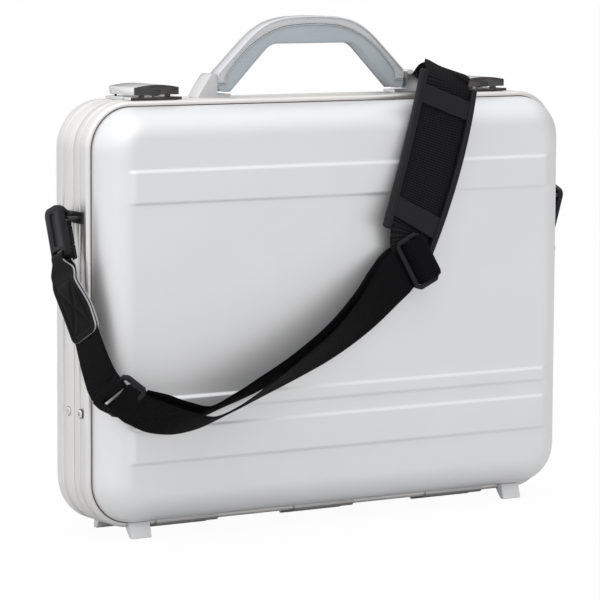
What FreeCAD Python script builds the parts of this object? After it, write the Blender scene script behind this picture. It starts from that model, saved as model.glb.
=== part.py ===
"""Aluminium attache case with a carrying handle, two latches and a shoulder strap.

Millimetres. X runs along the case, Y from the lid (front, negative) to the base (back, positive),
Z up. The origin is on the floor under the middle of the hinge axis, in the parting plane.
"""
import math
import os

import FreeCAD
import Part
import Sketcher

Vector = FreeCAD.Vector

DIMENSIONS = [
    # outline of the two drawn shells, seen from the front
    ("shell_width", 446.0), ("shell_height", 331.0), ("shell_corner", 34.0), ("rim_height", 13.0),
    # aluminium frames round the opening
    ("frame_lip", 4.5), ("frame_wall", 1.6), ("front_depth", 21.0), ("back_depth", 30.0),
    ("parting_gap", 0.6), ("groove_depth", 1.2), ("groove_start", 8.0), ("front_groove", 7.0),
    ("back_groove_start", 11.0), ("back_groove", 7.0), ("lip_chamfer", 2.0), ("rim_gap", 0.8),
    ("rim_rebate", 1.5), ("shell_seat", 8.0),
    # drawn shells
    ("shell_depth", 26.0), ("shell_wall", 1.2), ("shell_round", 25.0), ("band_inset", 17.0),
    ("band_rise", 1.4), ("band_slope", 4.0),
    ("high_band_bottom", 267.4), ("high_band_top", 296.8),
    ("thin_band_bottom", 102.0), ("thin_band_top", 116.3),
    ("low_band_bottom", 61.3), ("low_band_top", 92.6),
    # lining trays
    ("lining_inset", 8.5), ("lining_wall", 1.5), ("lining_round", 20.0), ("lining_setback", 2.5),
    # hinges
    ("hinge_drop", 3.0), ("barrel_radius", 2.7), ("hinge_pin_radius", 1.2), ("pin_play", 0.06),
    ("leaf_thickness", 1.2), ("hinge_inset", 96.5), ("hinge_left", 34.0), ("hinge_right", 24.5),
    ("back_leaf_reach", 19.0), ("knuckle_gap", 0.3),
    # feet
    ("foot_width", 18.0), ("foot_inset", 32.0), ("foot_spread", 8.0), ("foot_toe", 5.0),
    ("foot_hook", 4.5), ("back_foot_spread", 5.5),
    # handle and its brackets
    ("handle_back", 13.5), ("handle_thickness", 13.0), ("bracket_depth", 17.0),
    ("bracket_inner", 92.4), ("bracket_base", 18.3), ("bracket_top", 96.8), ("bracket_rise", 18.9),
    ("bracket_plate", 2.4), ("bracket_plate_end", 80.2), ("handle_pivot_rise", 11.5),
    ("handle_side_gap", 1.5), ("handle_foot_gap", 1.6), ("handle_rise", 53.4),
    ("handle_shoulder", 7.8), ("handle_arm", 20.0),
    ("handle_knee", 49.0), ("handle_knee_rise", 44.8), ("grip_height", 22.6), ("cover_height", 6.7),
    ("handle_pin_radius", 2.5), ("handle_pin_reach", 8.0), ("handle_end_round", 4.0),
    # latches
    ("latch_inset", 63.5), ("latch_width", 47.0), ("lever_width", 41.0), ("latch_front", 12.5),
    ("latch_plate", 2.4), ("lever_lift", 3.2), ("lever_side", 6.8), ("lever_crown", 3.5),
    ("lever_wall", 1.6), ("latch_pin_radius", 1.5), ("latch_pin_inset", 4.0),
    ("latch_pin_rise", 5.4), ("ear_radius", 2.6), ("ear_thickness", 2.0),
    ("button_width", 7.0), ("button_height", 3.2), ("button_depth", 6.0),
    # stays between base and lid
    ("stay_rise", 101.3), ("stay_offset", 9.4), ("stay_thickness", 1.3), ("stay_width", 7.0),
    ("stay_layer", 0.5), ("rivet_radius", 2.0), ("rivet_play", 0.3), ("rivet_head", 3.2),
    ("screw_head", 3.5), ("screw_sink", 1.2), ("screw_proud", 0.4),
    # strap anchors and clips
    ("anchor_height", 257.5), ("anchor_wire", 1.6), ("anchor_front", 12.0), ("anchor_back", 8.0),
    ("anchor_reach", 10.0), ("anchor_plate", 1.6), ("anchor_rim", 3.0), ("anchor_relief", 0.4),
    ("clip_hang", 6.2), ("clip_width", 24.0), ("clip_height", 43.0),
    ("clip_thickness", 5.0), ("clip_round", 6.0), ("clip_wall", 2.5), ("clip_bar", 4.0),
    ("clip_slot", 4.0), ("clip_head", 5.0), ("clip_groove", 9.0), ("clip_groove_depth", 1.4),
    ("hook_width", 7.0), ("hook_gap", 7.0), ("hook_thickness", 2.6), ("hook_tip", 27.0),
    ("shelf_thickness", 3.0), ("gate_play", 0.3),
    # strap and its fittings
    ("tab_ply", 1.8), ("tab_play", 0.4), ("tab_side_play", 0.5),
    ("web_width", 38.0), ("web_thickness", 1.6), ("tab_thickness", 4.4),
    ("slider_width", 46.0), ("slider_length", 24.0), ("slider_thickness", 4.0), ("slider_bar", 4.0),
    ("pad_width", 57.0), ("pad_length", 142.0), ("pad_thickness", 7.0), ("pad_rim", 8.0),
    ("pad_bridge", 17.0), ("pad_bridge_depth", 2.8), ("pad_end", 12.0), ("pad_channel", 2.7),
    # where the strap's fittings lie: across or in from the side, out from the face, and height
    ("slider_inset", 7.5), ("slider_stand", 15.5), ("slider_rise", 121.5),
    ("adjuster_across", 56.5), ("adjuster_stand", 13.9), ("adjuster_rise", 208.5),
    ("pad_across", 79.5), ("pad_stand", 2.3), ("pad_rise", 296.0),
]

doc = FreeCAD.newDocument("attache_case")
sheet = doc.addObject("Spreadsheet::Sheet", "sizes")
for row, (alias, number) in enumerate(DIMENSIONS, start=1):
    sheet.set("A%d" % row, alias)
    sheet.set("B%d" % row, str(number))
    sheet.setAlias("B%d" % row, alias)
doc.recompute()


class Size:
    """A length that keeps its number and the sheet expression that gives it."""

    def __init__(self, value, text):
        self.value = value
        self.text = text

    def join(self, other, sign, value):
        text = other.text if isinstance(other, Size) else repr(float(other))
        return Size(value, "(%s %s %s)" % (self.text, sign, text))

    def __add__(self, other):
        return self.join(other, "+", self.value + number_of(other))

    def __sub__(self, other):
        return self.join(other, "-", self.value - number_of(other))

    def __mul__(self, other):
        return self.join(other, "*", self.value * number_of(other))

    def __truediv__(self, other):
        return self.join(other, "/", self.value / number_of(other))

    def __neg__(self):
        return self * -1

    def __radd__(self, other):
        return self + other

    def __rsub__(self, other):
        return -self + other


def number_of(size):
    return size.value if isinstance(size, Size) else float(size)


class Sizes:
    """Gives each cell of the sheet as a Size: dim.shell_width."""

    def __getattr__(self, alias):
        return Size(float(sheet.get(alias)), "sizes.%s" % alias)


dim = Sizes()
pieces = {}


def bind(item, name, size):
    """Set a property from a Size, by expression, or from a plain number."""
    if isinstance(size, Size):
        item.setExpression(name, size.text)
    elif "." in name:
        item.setExpression(name, repr(float(size)))
    else:
        setattr(item, name, size)


# ---------------------------------------------------------------- derived places

rim_bottom = dim.rim_height
rim_top = dim.rim_height + dim.shell_height
frame_bottom = rim_bottom - dim.frame_lip
frame_top = rim_top + dim.frame_lip
shell_side = dim.shell_width / 2
frame_side = shell_side + dim.frame_lip
half_gap = dim.parting_gap / 2
front_face = dim.front_depth + dim.shell_depth
back_face = dim.back_depth + dim.shell_depth
hinge_height = frame_bottom - dim.hinge_drop


# ---------------------------------------------------------------- PartDesign helpers

def new_body(label):
    body = doc.addObject("PartDesign::Body", label)
    body.Label = label
    pieces[label] = body
    return body


def sketch_on(body, role, name, lift=0):
    """A sketch on one of the body's own origin planes, raised along the plane's normal."""
    sketch = body.newObject("Sketcher::SketchObject", name)
    planes = [item for item in body.Origin.OriginFeatures if item.Role == role]
    sketch.AttachmentSupport = [(planes[0], "")]
    sketch.MapMode = "FlatFace"
    if isinstance(lift, Size):
        sketch.setExpression("AttachmentOffset.Base.z", lift.text)
    else:
        sketch.AttachmentOffset = FreeCAD.Placement(Vector(0, 0, lift), FreeCAD.Rotation())
    return sketch


def fix_coordinate(sketch, kind, geometry, point, size):
    """Hold one coordinate of a sketch point at a Size, or on an axis where it is zero."""
    if not isinstance(size, Size) and size == 0:
        axis = -2 if kind == "DistanceX" else -1
        sketch.addConstraint(Sketcher.Constraint("PointOnObject", geometry, point, axis))
        return
    number = number_of(size)
    index = sketch.addConstraint(Sketcher.Constraint(kind, -1, 1, geometry, point, number))
    if isinstance(size, Size):
        sketch.setExpression("Constraints[%d]" % index, size.text)


def polygon(sketch, points):
    """A closed outline of straight lines with every corner held."""
    count = len(points)
    first = sketch.GeometryCount
    corners = [Vector(number_of(x), number_of(y), 0) for x, y in points]
    for index in range(count):
        line = Part.LineSegment(corners[index], corners[(index + 1) % count])
        sketch.addGeometry(line, False)
    for index in range(count):
        following = first + (index + 1) % count
        sketch.addConstraint(Sketcher.Constraint("Coincident", first + index, 2, following, 1))
    for index, (x, y) in enumerate(points):
        fix_coordinate(sketch, "DistanceX", first + index, 1, x)
        fix_coordinate(sketch, "DistanceY", first + index, 1, y)


def rounded_outline(sketch, half_width, bottom, top, radius, split=False):
    """A rectangle with round corners, symmetric about the vertical axis.

    A split outline starts in the middle of its top side, as the path of a swept ring does.
    """
    first = sketch.GeometryCount
    right, low = number_of(half_width), number_of(bottom)
    high, r = number_of(top), number_of(radius)
    inner, up = Vector(0, 0, 1), math.pi / 2
    begin = 0 if split else r - right
    corners = [(right - r, high - r, 0), (right - r, low + r, -up),
               (r - right, low + r, -2 * up), (r - right, high - r, up)]
    sides = [((begin, high), (right - r, high)), ((right, high - r), (right, low + r)),
             ((right - r, low), (r - right, low)), ((-right, low + r), (-right, high - r))]
    for (start, end), (x, y, angle) in zip(sides, corners):
        sketch.addGeometry(Part.LineSegment(Vector(*start, 0), Vector(*end, 0)), False)
        circle = Part.Circle(Vector(x, y, 0), inner, r)
        sketch.addGeometry(Part.ArcOfCircle(circle, angle, angle + up), False)
    line = [first + 2 * step for step in range(4)]
    arc = [first + 2 * step + 1 for step in range(4)]
    closing = line[0]
    if split:
        last = Part.LineSegment(Vector(r - right, high, 0), Vector(0, high, 0))
        closing = sketch.addGeometry(last, False)
        sketch.addConstraint(Sketcher.Constraint("Horizontal", closing))
        sketch.addConstraint(Sketcher.Constraint("Coincident", closing, 2, line[0], 1))
        sketch.addConstraint(Sketcher.Constraint("PointOnObject", line[0], 1, -2))
    for step in range(4):
        following = (line[1:] + [closing])[step]
        sketch.addConstraint(Sketcher.Constraint("Tangent", line[step], 2, arc[step], 2))
        sketch.addConstraint(Sketcher.Constraint("Tangent", arc[step], 1, following, 1))
    for step in (0, 2):
        sketch.addConstraint(Sketcher.Constraint("Horizontal", line[step]))
        sketch.addConstraint(Sketcher.Constraint("Vertical", line[step + 1]))
    for step in (1, 2, 3):
        sketch.addConstraint(Sketcher.Constraint("Equal", arc[0], arc[step]))
    index = sketch.addConstraint(Sketcher.Constraint("Radius", arc[0], r))
    bind(sketch, "Constraints[%d]" % index, radius)
    fix_coordinate(sketch, "DistanceY", line[0], 2, top)
    fix_coordinate(sketch, "DistanceY", line[2], 1, bottom)
    fix_coordinate(sketch, "DistanceX", line[1], 1, half_width)
    fix_coordinate(sketch, "DistanceX", line[3], 1, -half_width)


def circle_at(sketch, x, y, radius):
    middle = Vector(number_of(x), number_of(y), 0)
    geometry = sketch.addGeometry(Part.Circle(middle, Vector(0, 0, 1), number_of(radius)), False)
    fix_coordinate(sketch, "DistanceX", geometry, 3, x)
    fix_coordinate(sketch, "DistanceY", geometry, 3, y)
    index = sketch.addConstraint(Sketcher.Constraint("Radius", geometry, number_of(radius)))
    bind(sketch, "Constraints[%d]" % index, radius)


def pad(body, sketch, length, midplane=False, backwards=False, taper=None):
    feature = body.newObject("PartDesign::Pad", sketch.Name + "_pad")
    feature.Profile = sketch
    bind(feature, "Length", length)
    if midplane:
        feature.SideType = "Symmetric"
    feature.Reversed = backwards
    if taper is not None:
        bind(feature, "TaperAngle", taper)
    doc.recompute()
    return feature


def pocket(body, sketch, length, midplane=False, backwards=False):
    """Cut a sketch out of the body, and stop if nothing was cut."""
    before = body.Tip.Shape.Volume
    feature = body.newObject("PartDesign::Pocket", sketch.Name + "_cut")
    feature.Profile = sketch
    bind(feature, "Length", length)
    if midplane:
        feature.SideType = "Symmetric"
    feature.Reversed = backwards
    doc.recompute()
    if feature.Shape.isNull() or not feature.Shape.Volume < before - 0.01:
        raise RuntimeError("the cut %s removed nothing" % sketch.Name)
    return feature


def fillet(body, chosen, radius):
    """Round the edges of the body's last feature for which chosen(edge) is true."""
    base = body.Tip
    names = ["Edge%d" % (index + 1) for index, edge in enumerate(base.Shape.Edges) if chosen(edge)]
    if not names:
        raise RuntimeError("no edge to round on %s" % body.Label)
    feature = body.newObject("PartDesign::Fillet", body.Label + "_round")
    feature.Base = (base, names)
    bind(feature, "Radius", radius)
    doc.recompute()
    if feature.Shape.isNull():
        raise RuntimeError("no rounding on %s" % body.Label)
    return feature


# ---------------------------------------------------------------- Part helpers

def place(item, x, y, z):
    for axis, size in zip("xyz", (x, y, z)):
        bind(item, "Placement.Base.%s" % axis, size)


def block(name, x, y, z, length, width, height):
    """A box from its lowest corner."""
    item = doc.addObject("Part::Box", name)
    bind(item, "Length", length)
    bind(item, "Width", width)
    bind(item, "Height", height)
    place(item, x, y, z)
    return item


def rod(name, x, y, z, radius, length, direction):
    """A cylinder from the middle of its first end, along X, Y or Z."""
    item = doc.addObject("Part::Cylinder", name)
    bind(item, "Radius", radius)
    bind(item, "Height", length)
    turns = {"x": (Vector(0, 1, 0), 90), "y": (Vector(1, 0, 0), -90), "z": (Vector(0, 0, 1), 0)}
    item.Placement.Rotation = FreeCAD.Rotation(*turns[direction])
    place(item, x, y, z)
    return item


def combine(kind, name, first, *others):
    """Fuse, cut or intersect solids one after the other."""
    result = first
    for step, other in enumerate(others, start=1):
        item = doc.addObject("Part::" + kind, name + "_" + kind.lower() + str(step))
        item.Base = result
        item.Tool = other
        result = item
    doc.recompute()
    return result


def keep(label, item):
    item.Label = label
    pieces[label] = item
    return item


# ---------------------------------------------------------------- frames and shells

def frame_ring(label, sign, depth, groove_start, groove_width):
    """An extruded profile bent round the case: flat, groove, proud lip and rebate for the shell."""
    body = new_body(label)
    path = sketch_on(body, "XZ_Plane", label + "_path")
    rounded_outline(path, shell_side, rim_bottom, rim_top, dim.shell_corner, split=True)
    section = sketch_on(body, "YZ_Plane", label + "_section")
    groove_end = groove_start + groove_width
    sunk = rim_top + dim.frame_lip - dim.groove_depth
    inside = rim_top - dim.frame_wall
    across = [
        (half_gap, frame_top), (groove_start, frame_top), (groove_start + 0.8, sunk),
        (groove_end, sunk), (groove_end + 0.8, frame_top), (depth - dim.lip_chamfer, frame_top),
        (depth, frame_top - dim.lip_chamfer), (depth, rim_top + dim.rim_gap),
        (depth - dim.rim_rebate, rim_top + dim.rim_gap), (depth - dim.rim_rebate, rim_top),
        (depth - dim.shell_seat, rim_top), (depth - dim.shell_seat, inside), (half_gap, inside),
    ]
    polygon(section, [(y * sign, z) for y, z in across])
    doc.recompute()
    pipe = body.newObject("PartDesign::AdditivePipe", label + "_sweep")
    pipe.Profile = (section, [""])
    pipe.Spine = (path, ["Edge%d" % (number + 1) for number in range(9)])
    doc.recompute()
    return body


BANDS = [("high", dim.high_band_bottom, dim.high_band_top),
         ("thin", dim.thin_band_bottom, dim.thin_band_top),
         ("low", dim.low_band_bottom, dim.low_band_top)]
taper = Size(-math.degrees(math.atan(number_of(dim.band_slope) / number_of(dim.band_rise))),
             "(-atan(sizes.band_slope / sizes.band_rise))")


def solid_tray(name, sign, start, face, inset, rounding):
    """A block with round corners and a soft edge round its face, inset from the shell's outline."""
    body = doc.addObject("PartDesign::Body", name)
    outline = sketch_on(body, "XZ_Plane", name + "_outline", start * -sign)
    rounded_outline(outline, shell_side - inset, rim_bottom + inset, rim_top - inset,
                    dim.shell_corner - inset)
    doc.recompute()
    pad(body, outline, face - start, backwards=sign > 0)
    fillet(body, abs_y(face), rounding)
    return body


def add_bands(body, sign, face, inset):
    """Three raised bands with sloping edges across the face."""
    for name, bottom, top in BANDS:
        band = sketch_on(body, "XZ_Plane", body.Name + "_" + name, face * -sign)
        low, high = bottom + inset, top - inset
        reach = dim.shell_width / 2 - dim.band_inset - inset
        rounded_outline(band, reach, low, high, (high - low) / 2 - 0.2)
        doc.recompute()
        pad(body, band, dim.band_rise, backwards=sign > 0, taper=taper)


def drawn_shell(label, sign, frame_depth, face):
    """A drawn sheet tray with a soft front edge and three raised bands across its face."""
    wall = dim.shell_wall
    seat = frame_depth - dim.shell_seat
    outside = solid_tray(label + "_outside", sign, seat, face, Size(0, "0"), dim.shell_round)
    add_bands(outside, sign, face, Size(0, "0"))
    inside = solid_tray(label + "_inside", sign, seat - 1, face - wall, wall,
                        dim.shell_round - wall)
    add_bands(inside, sign, face - wall, wall)
    keep(label, combine("Cut", label, outside, inside))


def abs_y(size):
    """Chooses the edges that lie wholly at one distance from the parting plane."""
    number = number_of(size)

    def chosen(edge):
        return all(abs(abs(corner.Point.y) - number) < 1e-4 for corner in edge.Vertexes)
    return chosen


def lining_tray(label, sign, face):
    """A fabric-covered tray that rests on the inside of the shell's face."""
    wall = dim.lining_wall
    floor = face - dim.shell_wall
    outside = solid_tray(label + "_outside", sign, dim.lining_setback, floor, dim.lining_inset,
                         dim.lining_round)
    inside = solid_tray(label + "_inside", sign, dim.lining_setback - 1, floor - wall,
                        dim.lining_inset + wall, dim.lining_round - wall)
    keep(label, combine("Cut", label, outside, inside))


frame_ring("front_frame", -1, dim.front_depth, dim.groove_start, dim.front_groove)
frame_ring("back_frame", 1, dim.back_depth, dim.back_groove_start, dim.back_groove)
drawn_shell("front_shell", -1, dim.front_depth, front_face)
drawn_shell("back_shell", 1, dim.back_depth, back_face)
lining_tray("front_lining", -1, front_face)
lining_tray("back_lining", 1, back_face)


# ---------------------------------------------------------------- feet

def foot(label, side, sign, depth, spread):
    """A plastic wedge that hooks round the frame's lip and stands on the floor."""
    body = new_body(label)
    toe = depth + spread
    section = [
        (toe, 0), (toe - dim.foot_toe, 0), (depth - dim.foot_hook, frame_bottom),
        (depth - dim.lip_chamfer, frame_bottom), (depth, frame_bottom + dim.lip_chamfer),
        (depth, rim_bottom - 0.1), (depth + dim.foot_hook, rim_bottom - 0.1),
    ]
    lift = (dim.shell_width / 2 - dim.foot_inset - dim.foot_width / 2) * side
    sketch = sketch_on(body, "YZ_Plane", label + "_section", lift)
    polygon(sketch, [(y * sign, z) for y, z in section])
    doc.recompute()
    pad(body, sketch, dim.foot_width, midplane=True)


for side, word in ((-1, "left"), (1, "right")):
    foot("front_foot_" + word, side, -1, dim.front_depth, dim.foot_spread)
    foot("back_foot_" + word, side, 1, dim.back_depth, dim.back_foot_spread)


# ---------------------------------------------------------------- hinges

def hinge(place_word, centre):
    """Two leaves with alternate knuckles on one steel pin."""
    play = dim.hinge_pin_radius + dim.pin_play
    ends = (-dim.hinge_left, dim.hinge_right)
    step = (dim.hinge_left + dim.hinge_right) / 4
    marks = [ends[0], ends[0] + step * 1.4, ends[0] + step * 2.4, ends[0] + step * 3.2, ends[1]]
    turn = dim.front_depth
    front = [
        (-half_gap - 0.2, frame_bottom), (dim.lip_chamfer - turn, frame_bottom),
        (-turn, frame_bottom + dim.lip_chamfer), (-turn, rim_bottom - 0.4),
        (-turn - dim.leaf_thickness, rim_bottom - 0.4),
        (-turn - dim.leaf_thickness, frame_bottom + dim.lip_chamfer - 0.5),
        (dim.lip_chamfer - turn - 0.5, frame_bottom - dim.leaf_thickness),
        (-half_gap - 0.2, frame_bottom - dim.leaf_thickness),
    ]
    back = [
        (half_gap + 0.2, frame_bottom), (dim.back_leaf_reach, frame_bottom),
        (dim.back_leaf_reach, frame_bottom - dim.leaf_thickness),
        (half_gap + 0.2, frame_bottom - dim.leaf_thickness),
    ]
    for word, section, owned in (("front", front, (0, 2)), ("back", back, (1, 3))):
        label = "hinge_%s_leaf_%s" % (word, place_word)
        body = new_body(label)
        middle = centre + (ends[0] + ends[1]) / 2
        leaf = sketch_on(body, "YZ_Plane", label + "_leaf", middle)
        polygon(leaf, section)
        doc.recompute()
        pad(body, leaf, dim.hinge_left + dim.hinge_right, midplane=True)
        for number in (0, 1, 2, 3):
            span = marks[number + 1] - marks[number] - dim.knuckle_gap
            lift = centre + (marks[number] + marks[number + 1]) / 2
            if number in owned:
                knuckle = sketch_on(body, "YZ_Plane", "%s_knuckle%d" % (label, number), lift)
                circle_at(knuckle, 0, hinge_height, dim.barrel_radius)
                doc.recompute()
                pad(body, knuckle, span, midplane=True)
            else:
                room = sketch_on(body, "YZ_Plane", "%s_room%d" % (label, number), lift)
                circle_at(room, 0, hinge_height, dim.barrel_radius + dim.knuckle_gap)
                doc.recompute()
                pocket(body, room, span + dim.knuckle_gap * 2, midplane=True)
        bore = sketch_on(body, "YZ_Plane", label + "_bore", middle)
        circle_at(bore, 0, hinge_height, play)
        doc.recompute()
        pocket(body, bore, dim.hinge_left + dim.hinge_right + 1, midplane=True)
    keep("hinge_pin_" + place_word,
         rod("hinge_pin_%s" % place_word, centre + ends[0], 0, hinge_height,
             dim.hinge_pin_radius, dim.hinge_left + dim.hinge_right, "x"))


for word, factor in (("left", -1), ("middle", 0), ("right", 1)):
    hinge(word, (frame_side - dim.hinge_inset) * factor)


# ---------------------------------------------------------------- handle

handle_side = dim.bracket_inner - dim.handle_side_gap
pivot_height = frame_top + dim.handle_pivot_rise


def handle_bracket(side, word):
    """A cast bracket with a sloping outer side and a plate that runs under the handle's foot."""
    label = "handle_bracket_" + word
    body = new_body(label)
    outer = dim.bracket_inner + dim.bracket_base
    outline = [
        (outer, frame_top), (outer - 5.2, frame_top + 8.5), (dim.bracket_top + 1.7, frame_top + 18.2),
        (dim.bracket_top, frame_top + dim.bracket_rise),
        (dim.bracket_inner + 1.6, frame_top + dim.bracket_rise),
        (dim.bracket_inner, frame_top + dim.bracket_rise - 1.4),
        (dim.bracket_inner, frame_top + dim.bracket_plate),
        (dim.bracket_plate_end, frame_top + dim.bracket_plate), (dim.bracket_plate_end, frame_top),
    ]
    sketch = sketch_on(body, "XZ_Plane", label + "_outline", -dim.handle_back)
    polygon(sketch, [(x * side, z) for x, z in outline])
    doc.recompute()
    pad(body, sketch, dim.bracket_depth, midplane=True)
    lift = (dim.bracket_inner + dim.bracket_base / 4) * side
    bore = sketch_on(body, "YZ_Plane", label + "_bore", lift)
    circle_at(bore, dim.handle_back, pivot_height, dim.handle_pin_radius)
    doc.recompute()
    pocket(body, bore, dim.bracket_base / 2, midplane=True)
    start = dim.bracket_inner + dim.bracket_base / 2
    reach = dim.bracket_base / 2 + dim.handle_side_gap + dim.handle_pin_reach
    first_end = -start if side < 0 else start - reach
    keep("handle_pin_" + word, rod("handle_pin_" + word, first_end, dim.handle_back, pivot_height,
                                   dim.handle_pin_radius, reach, "x"))


for side, word in ((-1, "left"), (1, "right")):
    handle_bracket(side, word)

arm_bottom = frame_top + dim.bracket_plate + dim.handle_foot_gap
crest = pivot_height + dim.handle_rise
lean = dim.handle_arm * math.sqrt(2)
shoulder = pivot_height + dim.handle_shoulder
grip_under = crest - dim.grip_height
inner_knee = handle_side + shoulder - lean - grip_under
seam_foot = pivot_height - 0.4


def handle_half_outline():
    """Outer and inner lines of the arch on the right side, from the foot to the crest."""
    outer = [
        (handle_side, shoulder), (dim.handle_knee + 11, pivot_height + dim.handle_knee_rise - 7.9),
        (dim.handle_knee, pivot_height + dim.handle_knee_rise), (dim.handle_knee - 11, crest - 4.0),
        (dim.handle_knee - 21, crest - 1.8),
    ]
    inner = [
        (handle_side - 11.5, arm_bottom), (inner_knee + 5, grip_under - 5),
        (inner_knee - 2, grip_under - 0.6), (inner_knee - 8, grip_under),
    ]
    seam = [
        (handle_side - 8, seam_foot), (handle_side - 9.4, seam_foot + 7.5),
        (dim.handle_knee + 3.5, pivot_height + dim.handle_knee_rise - 10.5),
        (dim.handle_knee - 7, crest - 13.5), (dim.handle_knee - 20, crest - 8.4),
    ]
    return outer, inner, seam


def mirrored(points):
    return [(-x, z) for x, z in reversed(points)]


def handle():
    """A grey grip with a silver cover over its outer side, both on two pins."""
    outer, inner, seam = handle_half_outline()
    top_seam = (0, crest - dim.cover_height)
    cover_line = [(handle_side, seam_foot)] + outer + [(0, crest)] + mirrored(outer)
    cover_line += [(-handle_side, seam_foot)] + [(-x, z) for x, z in seam]
    cover_line += [top_seam] + list(reversed(seam))
    grip_line = [(handle_side, arm_bottom), (handle_side, seam_foot)] + seam + [top_seam]
    grip_line += mirrored(seam) + [(-handle_side, seam_foot), (-handle_side, arm_bottom)]
    grip_line += [(-x, z) for x, z in inner] + list(reversed(inner))
    for label, line in (("handle_cover", cover_line), ("handle_grip", grip_line)):
        body = new_body(label)
        sketch = sketch_on(body, "XZ_Plane", label + "_outline", -dim.handle_back)
        polygon(sketch, line)
        doc.recompute()
        pad(body, sketch, dim.handle_thickness, midplane=True)
        if label == "handle_grip":
            low = number_of(arm_bottom)
            fillet(body, lambda edge: all(abs(corner.Point.z - low) < 1e-4
                                          for corner in edge.Vertexes)
                   and abs(edge.Vertexes[0].Point.y - edge.Vertexes[1].Point.y) < 1e-4,
                   dim.handle_end_round)
        for side, word in ((-1, "left"), (1, "right")):
            bore = sketch_on(body, "YZ_Plane", "%s_bore_%s" % (label, word), handle_side * side)
            circle_at(bore, dim.handle_back, pivot_height, dim.handle_pin_radius + dim.pin_play)
            doc.recompute()
            pocket(body, bore, dim.handle_pin_reach * 2 + 1, midplane=True)


handle()


# ---------------------------------------------------------------- latches

latch_back = dim.back_depth - 1
latch_axis_y = latch_back - dim.latch_pin_inset
latch_axis_z = frame_top + dim.latch_pin_rise
lever_bottom = frame_top + dim.lever_lift
lever_shoulder = lever_bottom + dim.lever_side


def latch(side, word):
    """A plate with two ears, a hollow domed lever on a pin, a push button and a catch plate."""
    centre = (dim.shell_width / 2 - dim.latch_inset) * side
    plate_start = centre - dim.latch_width / 2
    lever_start = centre - dim.lever_width / 2
    inner_half = dim.lever_width / 2 - dim.lever_wall
    ear_outer = inner_half - 0.4
    base = [block("latch_plate_" + word, plate_start, half_gap, frame_top, dim.latch_width,
                  latch_back - half_gap, dim.latch_plate)]
    for number, start in enumerate((centre - ear_outer, centre + ear_outer - dim.ear_thickness)):
        name = "latch_ear%d_%s" % (number, word)
        base.append(block(name, start, latch_axis_y - dim.ear_radius, frame_top,
                          dim.ear_thickness, dim.ear_radius * 2, dim.latch_pin_rise))
        base.append(rod(name + "_end", start, latch_axis_y, latch_axis_z, dim.ear_radius,
                        dim.ear_thickness, "x"))
    bore = rod("latch_bore_" + word, lever_start, latch_axis_y, latch_axis_z,
               dim.latch_pin_radius, dim.lever_width, "x")
    fused = combine("Fuse", "latch_base_" + word, *base)
    keep("latch_base_" + word, combine("Cut", "latch_base_bored_" + word, fused, bore))
    keep("latch_pin_" + word, rod("latch_pin_" + word, lever_start, latch_axis_y, latch_axis_z,
                                  dim.latch_pin_radius, dim.lever_width, "x"))

    body = doc.addObject("PartDesign::Body", "lever_form_" + word)
    sketch = sketch_on(body, "YZ_Plane", "lever_side_" + word, centre)
    rear = latch_axis_y + 3.6
    top = lever_shoulder + dim.lever_crown
    polygon(sketch, [(-dim.latch_front, lever_bottom), (latch_axis_y + 1.6, lever_bottom),
                     (latch_axis_y + 2.6, latch_axis_z - 0.6), (latch_axis_y + 2.7, latch_axis_z),
                     (rear, latch_axis_z + 2.6), (rear, top), (-dim.latch_front, top)])
    doc.recompute()
    pad(body, sketch, dim.lever_width, midplane=True)
    half, crown = number_of(dim.lever_width) / 2, number_of(dim.lever_crown)
    dome_radius = Size((half ** 2 + crown ** 2) / (2 * crown),
                       "((sizes.lever_width / 2) ^ 2 + sizes.lever_crown ^ 2)"
                       " / (2 * sizes.lever_crown)")
    dome = rod("lever_dome_" + word, centre, -dim.latch_front - 1, top - dome_radius, dome_radius,
               latch_back + dim.latch_front + 2, "y")
    domed = combine("Common", "lever_domed_" + word, body, dome)
    hollow = block("lever_hollow_" + word, centre - inner_half, 2 - dim.latch_front,
                   lever_bottom - 1, inner_half * 2, latch_back + dim.latch_front,
                   dim.lever_side - dim.lever_wall + 1)
    lever_bore = rod("lever_bore_" + word, lever_start - 1, latch_axis_y, latch_axis_z,
                     dim.latch_pin_radius + dim.pin_play, dim.lever_width + 2, "x")
    play = 0.15
    button_low = lever_bottom + 1.4
    button_room = block("button_room_" + word, centre - dim.button_width / 2 - play,
                        -dim.latch_front - 1, button_low - play, dim.button_width + play * 2, 4,
                        dim.button_height + play * 2)
    keep("latch_lever_" + word, combine("Cut", "latch_lever_" + word, domed, hollow, lever_bore,
                                        button_room))
    button_front = 0.3 - dim.latch_front
    shank = block("button_shank_" + word, centre - dim.button_width / 2, button_front, button_low,
                  dim.button_width, dim.button_depth, dim.button_height)
    flange = block("button_flange_" + word, centre - dim.button_width / 2 - 1.5,
                   2.2 - dim.latch_front, button_low - 0.8, dim.button_width + 3, 1.2,
                   dim.button_height + 0.8)
    keep("latch_button_" + word, combine("Fuse", "latch_button_" + word, shank, flange))

    catch = [block("catch_plate_" + word, plate_start, -dim.latch_front, frame_top,
                   dim.latch_width, dim.latch_front - half_gap, dim.latch_plate)]
    for number, shift in enumerate((-12, 12)):
        catch.append(block("catch_post%d_%s" % (number, word), centre + shift - 2.5,
                           3 - dim.latch_front, frame_top, 5, 3, dim.latch_plate + 3.5))
    keep("latch_catch_" + word, combine("Fuse", "latch_catch_" + word, *catch))


for side, word in ((-1, "left"), (1, "right")):
    latch(side, word)


# ---------------------------------------------------------------- folding stays

def hypotenuse(first, second):
    return Size(math.hypot(number_of(first), number_of(second)),
                "sqrt(%s ^ 2 + %s ^ 2)" % (first.text, second.text))


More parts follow.
